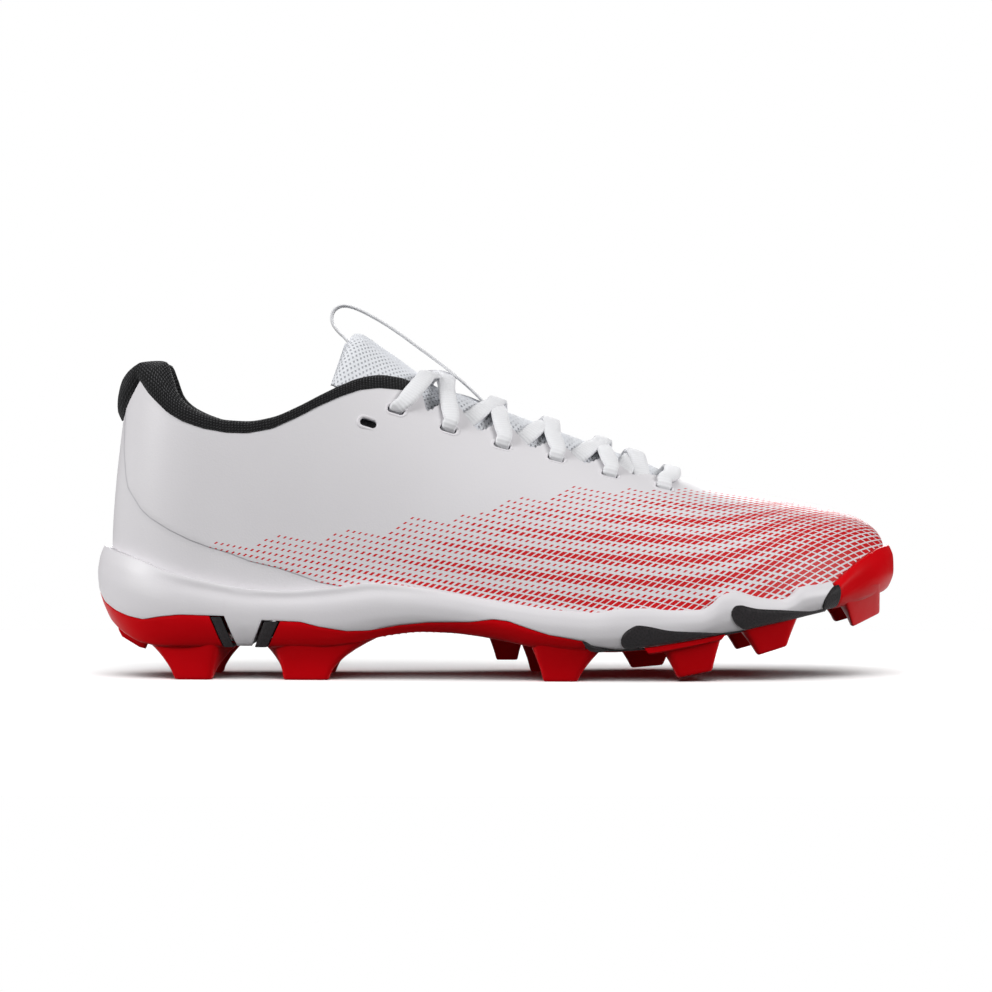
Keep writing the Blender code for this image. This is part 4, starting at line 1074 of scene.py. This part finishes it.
loopShape = {
    "wide": 10.0,
    "thick": 1.1,
    "path": ((96.4, 119.6), (94.8, 123), (92.2, 126.4), (89.7, 128.8), (87.8, 131.4), (87.2, 134.2),
             (88.2, 137), (91.6, 138.6), (97, 137.3), (105.4, 132.9), (112.9, 128), (120.4, 122.5),
             (127.9, 117), (135.4, 110.9), (140.6, 106.2), (144.4, 102.2), (147, 98.6)),
}


def makeLoop():
    path = alongPath([(x, loopMiddle, z) for x, z in loopShape["path"]], 110)
    return tape("pullLoopTape", path, (0, 1, 0), loopShape["wide"], loopShape["thick"])


pullLoopTape = makeLoop()
dress(pullLoopTape, tapeCloth, 60, "white_lace", "pull_loop")
print("pull loop done")

laceShape = {
    "wide": 6.7,
    "thick": 2.2,
    "neck": 0.8,  # share of the width inside a slot
    "flatOn": (0.957, 0, -0.29),  # direction of the lace's width
    # from inside a slot to just above it: out of the wall, and up
    "way": ((-4.2, 0.7), (-2.2, 0.6), (-0.4, 0.9), (0.9, 2.2), (1.25, 4.4)),
    # share of the way over the toe, lift and drift to the toe of the front bar
    "bar": ((0.06, 1.5, 2.4), (0.25, 1.4, 3.4), (0.5, 1.5, 3.6), (0.75, 1.4, 3.4), (0.94, 1.5, 2.4)),
    "barInset": 6.0,
    "over": 2.8,  # lift of the upper and of the lower strand where two cross
    "below": 0.7,
    "back": 2.6,  # how far a strand drifts to the heel on its way up
    # from the crown outwards, lift and drift to the heel of a strand that goes under the far edge
    "dive": ((6, 1, 1.4), (12, 0.3, 4.2), (17.4, -1.2, 7.4), (21, -2.8, 10.6), (24, -3.3, 14)),
    # x, height and lift of the strand that ends in the first pair of slots
    "top": ((123.4, 111.6, 1.1), (121, 108.8, 1.7), (118.5, 105.7, 1.7), (116, 102.6, 1.4),
            (114.2, 100.8, 0.9)),
    # share of the way over the tongue and lift of the lower crossing, and the lift of its middle on each side
    "lower": ((-0.12, -3), (0.06, -1.7), (0.5, 0), (0.94, -1.7), (1.12, -3)),
    "lowerRun": (204, 196.5),
    "lowerMiddle": {-1: 2.4, 1: 0.4},
}


def onSkin(x, y, lift):  # a point over the shell, lifted along its normal
    along, across = archSlopes(x, y, 0.6)
    normal = unit(np.array([-float(along), -float(across), 1.0]))
    return np.array([x, y, float(arch(x, y))]) + normal * lift


def throughSlot(index, side):  # the lace's way from inside a slot to just above it
    here, long, across, normal = slotFrame(index, side)
    rising = across if across[2] > 0 else -across
    return [here + normal * out + rising * up for out, up in laceShape["way"]]


def acrossThroat(fromSide):  # the lower crossing, over the tongue from one edge to the other
    first, final = laceShape["lowerRun"]
    made = []
    for t, lift in laceShape["lower"]:
        x = first + (final - first) * t
        nearY = float(throatY(x, fromSide))
        farY = float(throatY(x, -fromSide))
        lift = laceShape["lowerMiddle"][fromSide] if t == 0.5 else lift
        made.append(onSkin(x, nearY + (farY - nearY) * t, lift))
    return made


def makeLace():
    places = slotShape["places"]
    hint = unit(np.array(laceShape["flatOn"]))
    strands = []

    def strand(points, slotStart, slotEnd):
        path = alongPath(points, 90)
        run = np.linspace(0, 1, len(path))
        neck = np.ones(len(path))
        length = np.linalg.norm(np.diff(path, axis=0), axis=1).sum()
        if slotStart:
            neck -= (1 - laceShape["neck"]) * ease(12, 5, run * length)
        if slotEnd:
            neck -= (1 - laceShape["neck"]) * ease(12, 5, (1 - run) * length)
        strands.append(tape("strand", path, hint, laceShape["wide"] * neck, laceShape["thick"]))

    front = len(places) - 1
    bar = throughSlot(front, -1)
    nearY = slotFrame(front, -1)[0][1] + laceShape["barInset"]
    farY = slotFrame(front, 1)[0][1] - laceShape["barInset"]
    for t, lift, drift in laceShape["bar"]:
        bar.append(onSkin(places[front][0] + drift, nearY + (farY - nearY) * t, lift))
    strand(bar + throughSlot(front, 1)[::-1], True, True)
    for index in (5, 4, 3, 2):
        for side in (-1, 1):
            here = slotFrame(index, side)[0]
            over = laceShape["over"] if (side < 0) == (index % 2 == 0) else laceShape["below"]
            crest = here[0] - laceShape["back"]
            points = throughSlot(index, side)
            for t, lift in ((0.34, 1.25), (0.52, 0.9), (0.76, over * 0.7 + 0.2), (1.0, over)):
                x = here[0] - laceShape["back"] * t
                points.append(onSkin(x, here[1] + (float(ridge(x)) - here[1]) * t, lift))
            if index > 2:  # under the far edge towards the next slot
                for y, lift, drift in laceShape["dive"]:
                    x = crest - drift
                    far = y * float(throatGap(x) * sideShare(x, -side)) / 20
                    points.append(onSkin(x, float(ridge(x)) - side * far, lift))
                strand(points, True, False)
                continue
            for x, z, lift in laceShape["top"]:  # down to the first pair of slots
                points.append(onSkin(x, skin(x, angleAtZ(x, z), -side)[1], lift))
            strand(points + throughSlot(1, -side)[2::-1], True, True)
    for side in (-1, 1):
        strand(acrossThroat(side), False, False)
    return joinPieces("lace", strands)


lace = makeLace()
dress(lace, woven, 60, "white_lace", "lace_bar", *["lace_cross_" + str(k) for k in range(1, 6)])
print("lace done")


# Sole
soleShape = {
    "gap": 0.1,
    "cove": 0.5,  # soft hollow under the cup's top edge
    "rim": 2.4,
    "floor": 2.2,
    "recess": (269.6, 271.6),  # where the cup's wall steps in under the toe cap
    "foreDrop": 0.7,  # how far the white wall hangs over the dark plate
    # top edge of the cup
    "lip": ((5, 48.8), (10, 47), (20, 43.5), (27, 40.5), (34, 38.1), (42, 36.2), (60, 33.1),
            (72, 32.6), (92, 34.2), (104, 35.5), (114, 34.8), (136, 31.3), (150, 28.8), (172, 25.9),
            (184, 25.1), (194, 26.5), (202, 26.7), (213, 26), (222.5, 26.2), (226.5, 28.3), (230, 31.4),
            (233.7, 32.5), (243, 30.6), (251.5, 29.8), (255, 31.2), (258.5, 34.3), (266, 35.2), (272, 36.6),
            (295.3, 37.2)),
    # lower edge of its white wall
    "split": ((5, 32), (7.5, 28), (12, 25), (16.5, 23.2), (21.7, 22.1), (27, 23.2), (34, 24),
              (50.2, 23.5), (54.6, 12.5), (60, 12.5), (64, 22), (78, 21.5), (85, 19.7), (95, 18.1),
              (103, 18.3), (114, 20.3), (125, 21.4), (140, 21.6), (148.5, 22.7), (154, 22),
              (161, 19.5), (168.5, 17.1), (181, 14.8), (183, 12.8), (194, 12.6), (205, 13.5),
              (220, 16), (230, 18), (238, 19.4), (250, 22.2), (261, 25.2), (268, 26.8),
              (276, 28.8), (295.3, 34)),
    "under": ((5, 24), (8, 20.4), (13, 16.4), (20, 13.2), (28, 12.1), (45, 12), (85, 12),
              (96, 13.2), (103, 15), (111, 16.7), (122, 17.8), (132, 17.5), (142, 16.4), (154, 14.2),
              (165, 12), (176, 10.9), (190, 10.4), (200, 10.9), (210, 12.2), (220, 14), (230, 16),
              (238, 17.5), (250, 20.4), (261, 23.4), (268, 25), (276, 27), (295.3, 32.4)),
    # share of the wall's height and how far it stands out from the foot bed's outline
    "bulge": ((0, 1.2), (0.18, 3.2), (0.42, 4.7), (0.6, 5), (0.82, 4.3), (1, 2.7)),
    # top edge of the toe cap
    "cap": ((270, 34), (273, 36.4), (277, 39.6), (282, 43.2), (287, 46), (291, 47.8), (295.3, 48.8)),
}
lipZ, underZ, bulgeOut, capZ = [curveThrough(soleShape[key], 1) for key in ("lip", "under", "bulge", "cap")]
splitRows = np.array(soleShape["split"])


def splitZ(x):
    drop = soleShape["foreDrop"] * ease(184.0, 192.0, x)
    return float(np.interp(x, splitRows[:, 0], splitRows[:, 1]) - drop)


def wallOut(x, z, recessed=True):
    low = underZ(x)
    out = bulgeOut((z - low) / (lipZ(x) - low))
    return float(out * (1 - 0.94 * ease(*soleShape["recess"], x) * recessed))


def onWall(x, side, out, z, along=0.0):
    point, lead = footPoint(x, side)
    return np.array([point[0] + lead[0] * out + along, point[1] + lead[1] * out, z])


def skinOut(x, side, z):  # offset of the shell's face from the foot bed's outline at a height
    point, lead = footPoint(x, side)
    inward = np.linspace(0, 40, 401)
    alongX = np.minimum(point[0] - lead[0] * inward, last["toeX"] - 1e-4)
    reached = np.nonzero(arch(alongX, point[1] - lead[1] * inward) >= z)[0]
    return -float(inward[reached[0]]) if len(reached) else -40.0


def soleSlab(name, stations, rows):  # a body between both sides of the shoe
    table = []
    for x in stations:
        near = [onWall(x, -1, *row) for row in rows(x, -1)]
        far = [onWall(x, 1, *row) for row in rows(x, 1)]
        table.append(near + far[::-1] + near[:1])
    return latticePiece(name, np.array(table), capped=True)


def cupOut(x, z):  # the cup's wall, hollowed softly under its top edge beside the heel
    share = (z - float(underZ(x))) / (float(lipZ(x)) - float(underZ(x)))
    beside = float(ease(16.0, 40.0, x) * ease(138.0, 100.0, x))
    hollow = math.exp(-((share - 0.86) / 0.075) ** 2)
    return wallOut(x, z) + soleShape["cove"] * beside * (float(ease(0.88, 1.0, share)) - hollow)


def cupRows(x, side):
    low = splitZ(x)
    bed = float(footBed(x)) - soleShape["gap"]
    top = bed if x > soleShape["recess"][0] else float(lipZ(x))
    out = wallOut(x, low)
    rows = [(out - 3.2, low + 0.6), (out - 0.5, low), (out - 0.08, low + 0.12)]
    for part in np.linspace(0.05, 0.96, 20):
        z = low + (top - low) * part
        rows.append((cupOut(x, z), z))
    face = skinOut(x, side, top)
    edge = cupOut(x, top)
    rows += [(edge - 0.12, top - 0.05), (edge - 0.6, top + 0.05), ((edge + face) / 2 + 0.3, top - 0.05)]
    for share in (1.0, 0.6, 0.3, 0.0):
        z = bed + (top - 0.5 - bed) * share
        rows.append((min(skinOut(x, side, z) - 0.8, edge - 0.7), z))
    return rows


def trayRows(slant, pivot):  # red rubber that wraps up the wall, its end slanted about a height
    def rows(x, side):
        low = float(underZ(x))
        top = splitZ(x) - soleShape["gap"]
        made = [(wallOut(x, low) - 1.0, low), (wallOut(x, low) - 0.25, low + 0.15)]
        for part in np.linspace(0.07, 0.94, 9):
            z = low + (top - low) * part
            made.append((wallOut(x, z), z))
        out = wallOut(x, top)
        floor = min(low + soleShape["floor"], top - 0.2)
        inside = min(out - soleShape["rim"], wallOut(x, floor) - 1.0)
        made += [(out - 0.1, top - 0.1), (out - 0.5, top)]
        made += [(out - soleShape["rim"] + 0.1, top), (inside, floor)]
        lead = float(np.interp(x, *slant))
        return [(o, z, lead * (pivot - z)) for o, z in made]

    return rows


def webRows(x, side):  # thin red web under the forefoot
    low = float(underZ(x)) + 0.1
    return [(-5.2, low), (-4.3, low + 0.1), (-4.0, low + 0.5), (-4.0, low + 1.0)]


def plateRows(x, side):
    low = float(underZ(x)) + 0.5
    top = splitZ(x) + 0.4
    return [(-2.0, low), (-1.4, low + 0.3), (-1.4, top)]


def capRows(x, side):
    low = float(underZ(x))
    bed = float(footBed(x))
    high = max(float(capZ(x)), bed + 3.0)
    bulk = 3.9 - 0.7 * float(ease(270.2, 280.0, x))
    face = skinOut(x, side, high)
    edge = max(face + 2.4, -40.0)
    tuck = float(ease(271.9, 272.9, x)) * 0.5 - 0.5  # the rear edge is rounded off
    middle = (low + 2.2 + high) / 2
    guide = [(0.2, 0, low), (bulk - 1.7, 0, low + 1.5), (bulk - 0.2, 0, (low + 1.5 + middle) / 2),
             (bulk, 0, middle), ((bulk + edge) / 2 + 0.5, 0, (middle + high) / 2 + 0.2),
             (edge, 0, high - 0.3)]
    rows = [(o + tuck, z) for o, _, z in alongPath(guide, 20)]
    rows += [(edge - 0.35 + tuck, high + 0.02), (edge - 0.9, high + 0.1)]
    rows += [(face + 0.7, high), (face - 0.8, high - 0.7)]
    for share in (0.5, 0.0):
        z = bed + (high - 0.7 - bed) * share
        rows.append((skinOut(x, side, z) - 0.8, z))
    return rows + [(-0.8, low + 1.0)]


print("sole lines ready")


# Studs
studShape = {
    "points": 32,
    "square": 7.0,  # how square the studs are in plan
    # top, tip, tip heights, roots, stand-out, tip inset, depths, slant of rear and front, flare
    "heel": ((20.5, 48.4), (31, 45), (0, 0), (3.8, 3.8), 0.2, 2.4, (17, 9), (0, 7), 1.45),
    "arch": ((66.8, 110), (71, 88), (0, 0), (3.8, 1), 0.2, 2.6, (18, 9), (-4.2, 0), 1.85),
    # side, and then the same
    "front": ((-1, (161.5, 187), (166, 178.6), (0, 0), (1.6, 1.2), 0.2, 3, (17, 9), (0, 0), 1.35),
              (1, (157.5, 183), (162, 175), (0, 0), (1.6, 1.2), 0.2, 3, (17, 9), (0, 0), 1.35),
              (-1, (208.6, 230.2), (214.4, 227.2), (1.5, 3.9), (0.2, 0.2), 0.4, 3, (16, 9), (0, 0), 1.2),
              (1, (195, 220), (201, 213.5), (1, 2), (0.4, 0.4), 0.4, 3, (16, 9), (0, 0), 1.2),
              (-1, (237.4, 257.4), (243.6, 254.6), (9.6, 12.6), (1.1, 1.1), 0.4, 3, (15, 8), (0, 0), 1.15),
              (1, (235, 256), (241.5, 251), (8, 10.6), (1.1, 1.1), 0.4, 3, (15, 8), (0, 0), 1.15),
              (-1, (272.8, 287.8), (279.9, 292.2), (19.2, 23.4), (5, 5), -0.9, 4.4, (14, 8), (0, 0), 1.2),
              (1, (271.4, 287.2), (278.4, 290.2), (19.2, 23), (5, 5), -0.9, 4.4, (14, 8), (0, 0), 1.2)),
    "centre": ((145.5, 159), (149, 157), 6, 7, 5),
    # side, from, to, thickness and depth of the plates over the middle studs
    "plates": ((-1, 202.4, 231.4, 2.3, 15), (1, 193.6, 222, 2.3, 15)),
    "fin": ((6.4, 22.2), (7.6, 17), (8.8, 14.6), (15.3, 10.6), (17.6, 10), (18.4, 12), (20.5, 13.8),
            (13.5, 17), (9, 20.4)),
    "finHalf": 2.2,
}


def studBlock(top, tip, flare):  # flared block between four corners above and four below
    turn = np.linspace(0, 2 * math.pi, studShape["points"] + 1)
    bend = 2 / studShape["square"]
    u = (np.sign(np.cos(turn)) * np.abs(np.cos(turn)) ** bend + 1) / 2
    v = (np.sign(np.sin(turn)) * np.abs(np.sin(turn)) ** bend + 1) / 2

    def ring(corners):
        a, b, c, d = [np.asarray(corner, float) for corner in corners]
        u1, v1 = u[:, None], v[:, None]
        return (a * (1 - u1) + b * u1) * (1 - v1) + (d * (1 - u1) + c * u1) * v1

    above = ring(top)
    below = ring(tip)
    middle = below.mean(axis=0)
    table = []
    levels = ((0, 1), (0.1, 1), (0.22, 1), (0.36, 1), (0.5, 1), (0.64, 1), (0.78, 1), (0.9, 1),
              (0.955, 0.985), (0.985, 0.96), (1.0, 0.91))
    for t, keep in levels:  # the tip's edge is rounded off
        inward = 1 - (1 - t) ** flare
        share = np.array((inward, inward, t))
        loop = above + (below - above) * share
        core = above.mean(axis=0) + (middle - above.mean(axis=0)) * share
        table.append(core + (loop - core) * (keep, keep, 1))
    return latticePiece("stud", np.array(table), capped=True)


def wallStud(side, topRun, tipRun, lows, roots, proud, inset, depths, slants, flare):
    top = []
    for x, root in zip(topRun, roots):
        z = float(underZ(x)) + root
        top.append(onWall(x, side, wallOut(x, z, False) + proud, z))
    for k in (1, 0):
        outer = top[k]
        z = float(underZ(topRun[k])) + min(roots[k], 0.5)
        top.append(np.array([outer[0] + slants[k], outer[1] - side * depths[0], z]))
    tip = []
    for k, away in ((0, 0), (1, 0), (1, depths[1]), (0, depths[1])):
        x = tipRun[k]
        tip.append(np.array([x, footPoint(x, side)[0][1] + side * (1.2 - inset - away), lows[k]]))
    return studBlock(top, tip, flare)


def studPlate(side, first, final, thick, deep):
    table = []
    for x in np.linspace(first, final, 16):
        top = splitZ(x) - 0.15
        out = wallOut(x, top, False) + 0.35
        loop = [(out - 0.3, top, 0), (out, top - 0.4, 0.1), (out - 0.2, top - thick + 0.5, 0.5),
                (out - 0.8, top - thick, 0.7), (out - deep, top - thick, 0.7), (out - deep, top, 0)]
        lead = float(np.interp(x, (first, final), (2.6, -2.6)))
        made = [onWall(x, side, o, z, shift * lead) for o, z, shift in loop]
        table.append(made + made[:1])
    return latticePiece("studPlate", np.array(table), capped=True)


def heelFin():
    fin = np.array(studShape["fin"])
    middle = fin.mean(axis=0)
    table = []
    for share, keep in ((-1, 0.8), (-0.8, 0.96), (-0.5, 1), (0.5, 1), (0.8, 0.96), (1, 0.8)):
        outline = middle + (fin - middle) * keep
        loop = [np.array([x, studShape["finHalf"] * share, z]) for x, z in outline]
        table.append(loop + loop[:1])
    return latticePiece("fin", np.array(table), capped=True)


def centreStud():
    (rear, front), (tipRear, tipFront), low, half, tipHalf = studShape["centre"]
    top = [(rear, -half), (front, -half), (front, half), (rear, half)]
    tip = [(tipRear, -tipHalf), (tipFront, -tipHalf), (tipFront, tipHalf), (tipRear, tipHalf)]
    return studBlock([(x, y, float(underZ(x)) + 0.6) for x, y in top], [(x, y, low) for x, y in tip], 1.2)


def treadBars():  # low ribs across the arch and the web
    bars = []
    for x in list(np.arange(108.0, 144.0, 2.6)) + list(np.arange(188.0, 256.0, 4.2)):
        web = x > 180
        low = float(underZ(x)) - (0.5 if web else 0.7)
        reach = 0.5 if web else 0.7
        table = []
        for share in np.linspace(-1, 1, 13):
            side = -1 if share < 0 else 1
            y = float(ridge(x) + share * reach * halfWidth(x, side))
            sweep = x + 2.2 * (1 - abs(share)) * web
            profile = ((-0.8, 1.2), (-0.5, 0.1), (0.5, 0.1), (0.8, 1.2))
            loop = [np.array([sweep + a, y, low + b]) for a, b in profile]
            table.append(loop + loop[:1])
        bars.append(latticePiece("rib", np.array(table), capped=True))
    return bars


def makeRubber():
    rear = ((39.0, 44.6, 50.0), (0.0, 0.4, 0.4))
    front = ((64.3, 71.0, 78.0), (-0.42, -0.5, 0.0))
    rearStations = heelStations(26) + [40.2, 41.4, 42.6, 43.8, 44.6]
    heelPieces = [soleSlab("heelTray", rearStations, trayRows(rear, 23.5)), heelFin()]
    heelPieces += [wallStud(side, *studShape["heel"]) for side in (-1, 1)]
    heel = joinPieces("heelRubber", heelPieces)
    archStations = [71.0, 72.0, 73.5, 75.0, 76.5, 78.0] + list(np.arange(79.5, 181.0, 1.5)) + [181.2]
    capStations = [271.9, 272.1, 272.4, 272.9] + toeStations(273.5, 30)
    frontPieces = [soleSlab("archTray", archStations, trayRows(front, 22.0)),
                   soleSlab("web", list(np.arange(180.0, 259.0, 3.0)), webRows),
                   soleSlab("toeCap", capStations, capRows), centreStud()]
    frontPieces += [wallStud(side, *studShape["arch"]) for side in (-1, 1)]
    frontPieces += [wallStud(*row) for row in studShape["front"]]
    frontPieces += [studPlate(*row) for row in studShape["plates"]]
    frontPieces += treadBars()
    return heel, joinPieces("frontRubber", frontPieces)


heelRubber, frontRubber = makeRubber()
for piece, node in ((heelRubber, "outsole_heel"), (frontRubber, "outsole_front")):
    dress(piece, rubber, 38, "red_rubber", node)
cupStations = heelStations(30) + [40.5, 42, 43.5, 45, 46.5, 48, 49.4, 50.2, 51.3, 52.4, 53.5, 54.6]
cupStations += [56, 57.5, 58.8, 60, 61, 62, 63, 64, 65.2] + list(np.arange(66.5, 180.6, 1.5))
cupStations += [181, 182, 183, 184.2] + list(np.arange(185.5, 267.0, 1.25))
cupStations += [267.6, 268.6, 269.5, 269.8, 270.3, 270.8, 271.3, 271.7] + toeStations(272.6, 16)
midsoleCup = soleSlab("midsoleCup", cupStations, cupRows)
dress(midsoleCup, foam, 42, "white_foam", "midsole")
forefootPlate = soleSlab("forefootPlate", list(np.arange(182.6, 268.0, 3.0)), plateRows)
dress(forefootPlate, darkPlate, 40, "dark_plate", "forefoot_plate")
print("sole done")

# Dark pods on the wall
podShape = {
    "proud": 0.9,
    # x, lower edge, upper edge
    "rear": ((194, 14.2, 15.4), (194.5, 13, 16.9), (195.6, 12.2, 18.3), (197.4, 11.8, 19.6),
             (200, 12.4, 20.7), (203, 12.9, 20.4), (212, 14.2, 18.7), (222, 15.9, 18.2),
             (230, 17.2, 17.9), (238, 18.6, 18.9)),
    "front": ((233, 24.2, 25.6), (233.6, 22.6, 26.9), (234.8, 21, 27.8), (236.6, 19.7, 27.9),
              (238.4, 19, 27.4), (242.8, 19.9, 26.5), (250, 21.4, 26.1), (257, 22.8, 25.6),
              (261.5, 23.8, 25.4), (268, 25.2, 26.6)),
    "toe": ((265.6, 27.2, 28.8), (266, 26.5, 30.2), (266.8, 26, 31.6), (268.1, 25.9, 33.2),
            (269.6, 26.2, 34.5), (271.4, 26.8, 35)),
    "wedge": ((180.4, 14.6, 15), (181.8, 12.2, 14.6), (183.6, 11, 13.5), (186.4, 10.8, 12.5),
              (189.6, 11.2, 11.7)),
}


def wallPatch(rows, side):  # a raised patch that follows the wall, thin at its border
    lowZ = curveThrough(rows, 1)
    highZ = curveThrough(rows, 2)
    table = []
    for t in np.linspace(0, math.pi, 40):
        x = rows[0][0] + (rows[-1][0] - rows[0][0]) * (1 - math.cos(t)) / 2
        low = float(lowZ(x))
        high = float(highZ(x))
        lift = podShape["proud"] * math.sin(min(t, math.pi - t, 0.6) / 0.6 * math.pi / 2)
        loop = []
        for part in np.linspace(0, 1, 13):
            z = low + (high - low) * part
            border = min(part, 1 - part) * (high - low)
            crest = float(ease(-0.25, 0.9, border))
            loop.append(onWall(x, side, wallOut(x, z, False) + lift * crest, z))
        for part in (0.94, 0.5, 0.06):
            z = low + (high - low) * part
            loop.append(onWall(x, side, wallOut(x, z, False) - 0.8, z))
        table.append(loop + loop[:1])
    return latticePiece("patch", np.array(table), capped=True)


def makePods():
    for side, outer in ((-1, "outer"), (1, "inner")):
        for key, extra in (("rear", "wedge"), ("front", "toe")):
            made = [wallPatch(podShape[name], side) for name in (key, extra)]
            piece = joinPieces("pod" + key.title() + outer.title(), made)
            dress(piece, darkPlate, 55, "dark_plate", "pod_" + key + "_" + outer)


makePods()
print("pods done")


# Pieces that keep the frame's own solids, with rounded edges
def castFrom(node, name, finish, slotName, width, degrees=32):
    piece = bpy.data.objects.new(name, nodes[node].data.copy())
    bpy.context.scene.collection.objects.link(piece)
    editAll(piece)
    bpy.ops.mesh.remove_doubles(threshold=2e-6)
    bpy.ops.mesh.dissolve_limited(angle_limit=math.radians(0.4))
    leaveEdit()
    applyModifier(piece, "BEVEL", width=width / 1000, segments=2, limit_method="ANGLE",
                  angle_limit=math.radians(degrees), use_clamp_overlap=True, harden_normals=False)
    dress(piece, finish, degrees, slotName, node)


castFrom("insole", "footBedPad", bedCloth, "grey_foam", 0.6)
castFrom("heel_inlay_rear", "heelInlayRear", darkPlate, "dark_plate", 0.8)
castFrom("heel_inlay_front", "heelInlayFront", darkPlate, "dark_plate", 0.8)
print("inlays done")

# Stage, light and camera
studio = {
    "cameraFar": 1.25,
    "cameraHigh": 0.0672,
    "cameraSide": -0.0004,
    "lens": 121.0,
    "backdrop": 1.0,
    "skyLight": 0.06,
    "floorSize": 0.9,
    "floorMiddle": (0, -0.05, 0),
    # what each softbox lights, its place, aim, size and power
    "softboxes": (
        ("topSoftbox", "shoe", (0.0, -0.15, 1.75), (0, 0, 0), 1.3, 5.0),
        ("leftSoftbox", "shoe", (-1.3, -0.7, 0.72), (0, 0, 0.06), 0.8, 24.5),
        ("rightSoftbox", "shoe", (1.3, -0.78, 0.72), (0, 0, 0.06), 0.8, 21.5),
        ("backSoftbox", "shoe", (0.1, 1.4, 0.6), (0, 0, 0.06), 0.8, 16.0),
        ("floorSoftbox", "floor", (0.0, -0.1, 1.6), (0, -0.1, 0), 3.2, 46.0),
        ("floorFrontSoftbox", "floor", (0.0, -1.5, 1.2), (0, 0, 0), 1.6, 48.0),
    ),
}


def stageAndLight():
    clearSelection()
    bpy.ops.mesh.primitive_plane_add(size=studio["floorSize"], location=studio["floorMiddle"])
    bpy.ops.object.transform_apply(location=True)
    floor = bpy.context.object
    floor.name = "floor"
    paint, shader, wire = newFinish("pale_floor", (0.95, 0.95, 0.95), 0.7, Specular_IOR_Level=0.1)
    cloud = noise(wire, place(wire), 3.0)
    feed(shader, "Base Color", cloud.mixed((0.94, 0.94, 0.94, 1), (0.96, 0.96, 0.96, 1)))
    floor.data.materials.append(paint)
    floor.visible_diffuse = False  # no red or white light comes back from the floor
    scene = bpy.context.scene
    scene.view_settings.view_transform = "Standard"
    world = bpy.data.worlds.new("studioSky")
    scene.world = world
    world.use_nodes = True
    sky = world.node_tree.nodes["Background"]
    sky.inputs["Color"].default_value = (1, 1, 1, 1)
    straight = Wire(world.node_tree).node("ShaderNodeLightPath", outlet="Is Camera Ray")
    feed(sky, "Strength", straight * (studio["backdrop"] - studio["skyLight"]) + studio["skyLight"])
    lit = {"shoe": bpy.data.collections.new("shoeOnly"), "floor": bpy.data.collections.new("floorOnly")}
    for piece in [piece for piece in scene.objects if piece.type == "MESH"]:
        lit["floor" if piece == floor else "shoe"].objects.link(piece)
    for name, target, where, aim, size, watts in studio["softboxes"]:
        turn = (Vector(where) - Vector(aim)).to_track_quat("Z", "Y").to_euler()
        bpy.ops.object.light_add(type="AREA", location=where, rotation=turn)
        light = bpy.context.object
        light.name = name
        light.data.size = size
        light.data.energy = watts
        light.light_linking.receiver_collection = lit[target]
    bpy.ops.object.camera_add(location=(studio["cameraSide"], -studio["cameraFar"], studio["cameraHigh"]),
                              rotation=(math.pi / 2, 0, 0))
    camera = bpy.context.object
    camera.data.lens = studio["lens"]
    camera.data.sensor_width = 36.0
    camera.data.clip_start = 0.01
    scene.camera = camera


stageAndLight()
print("stage ready")
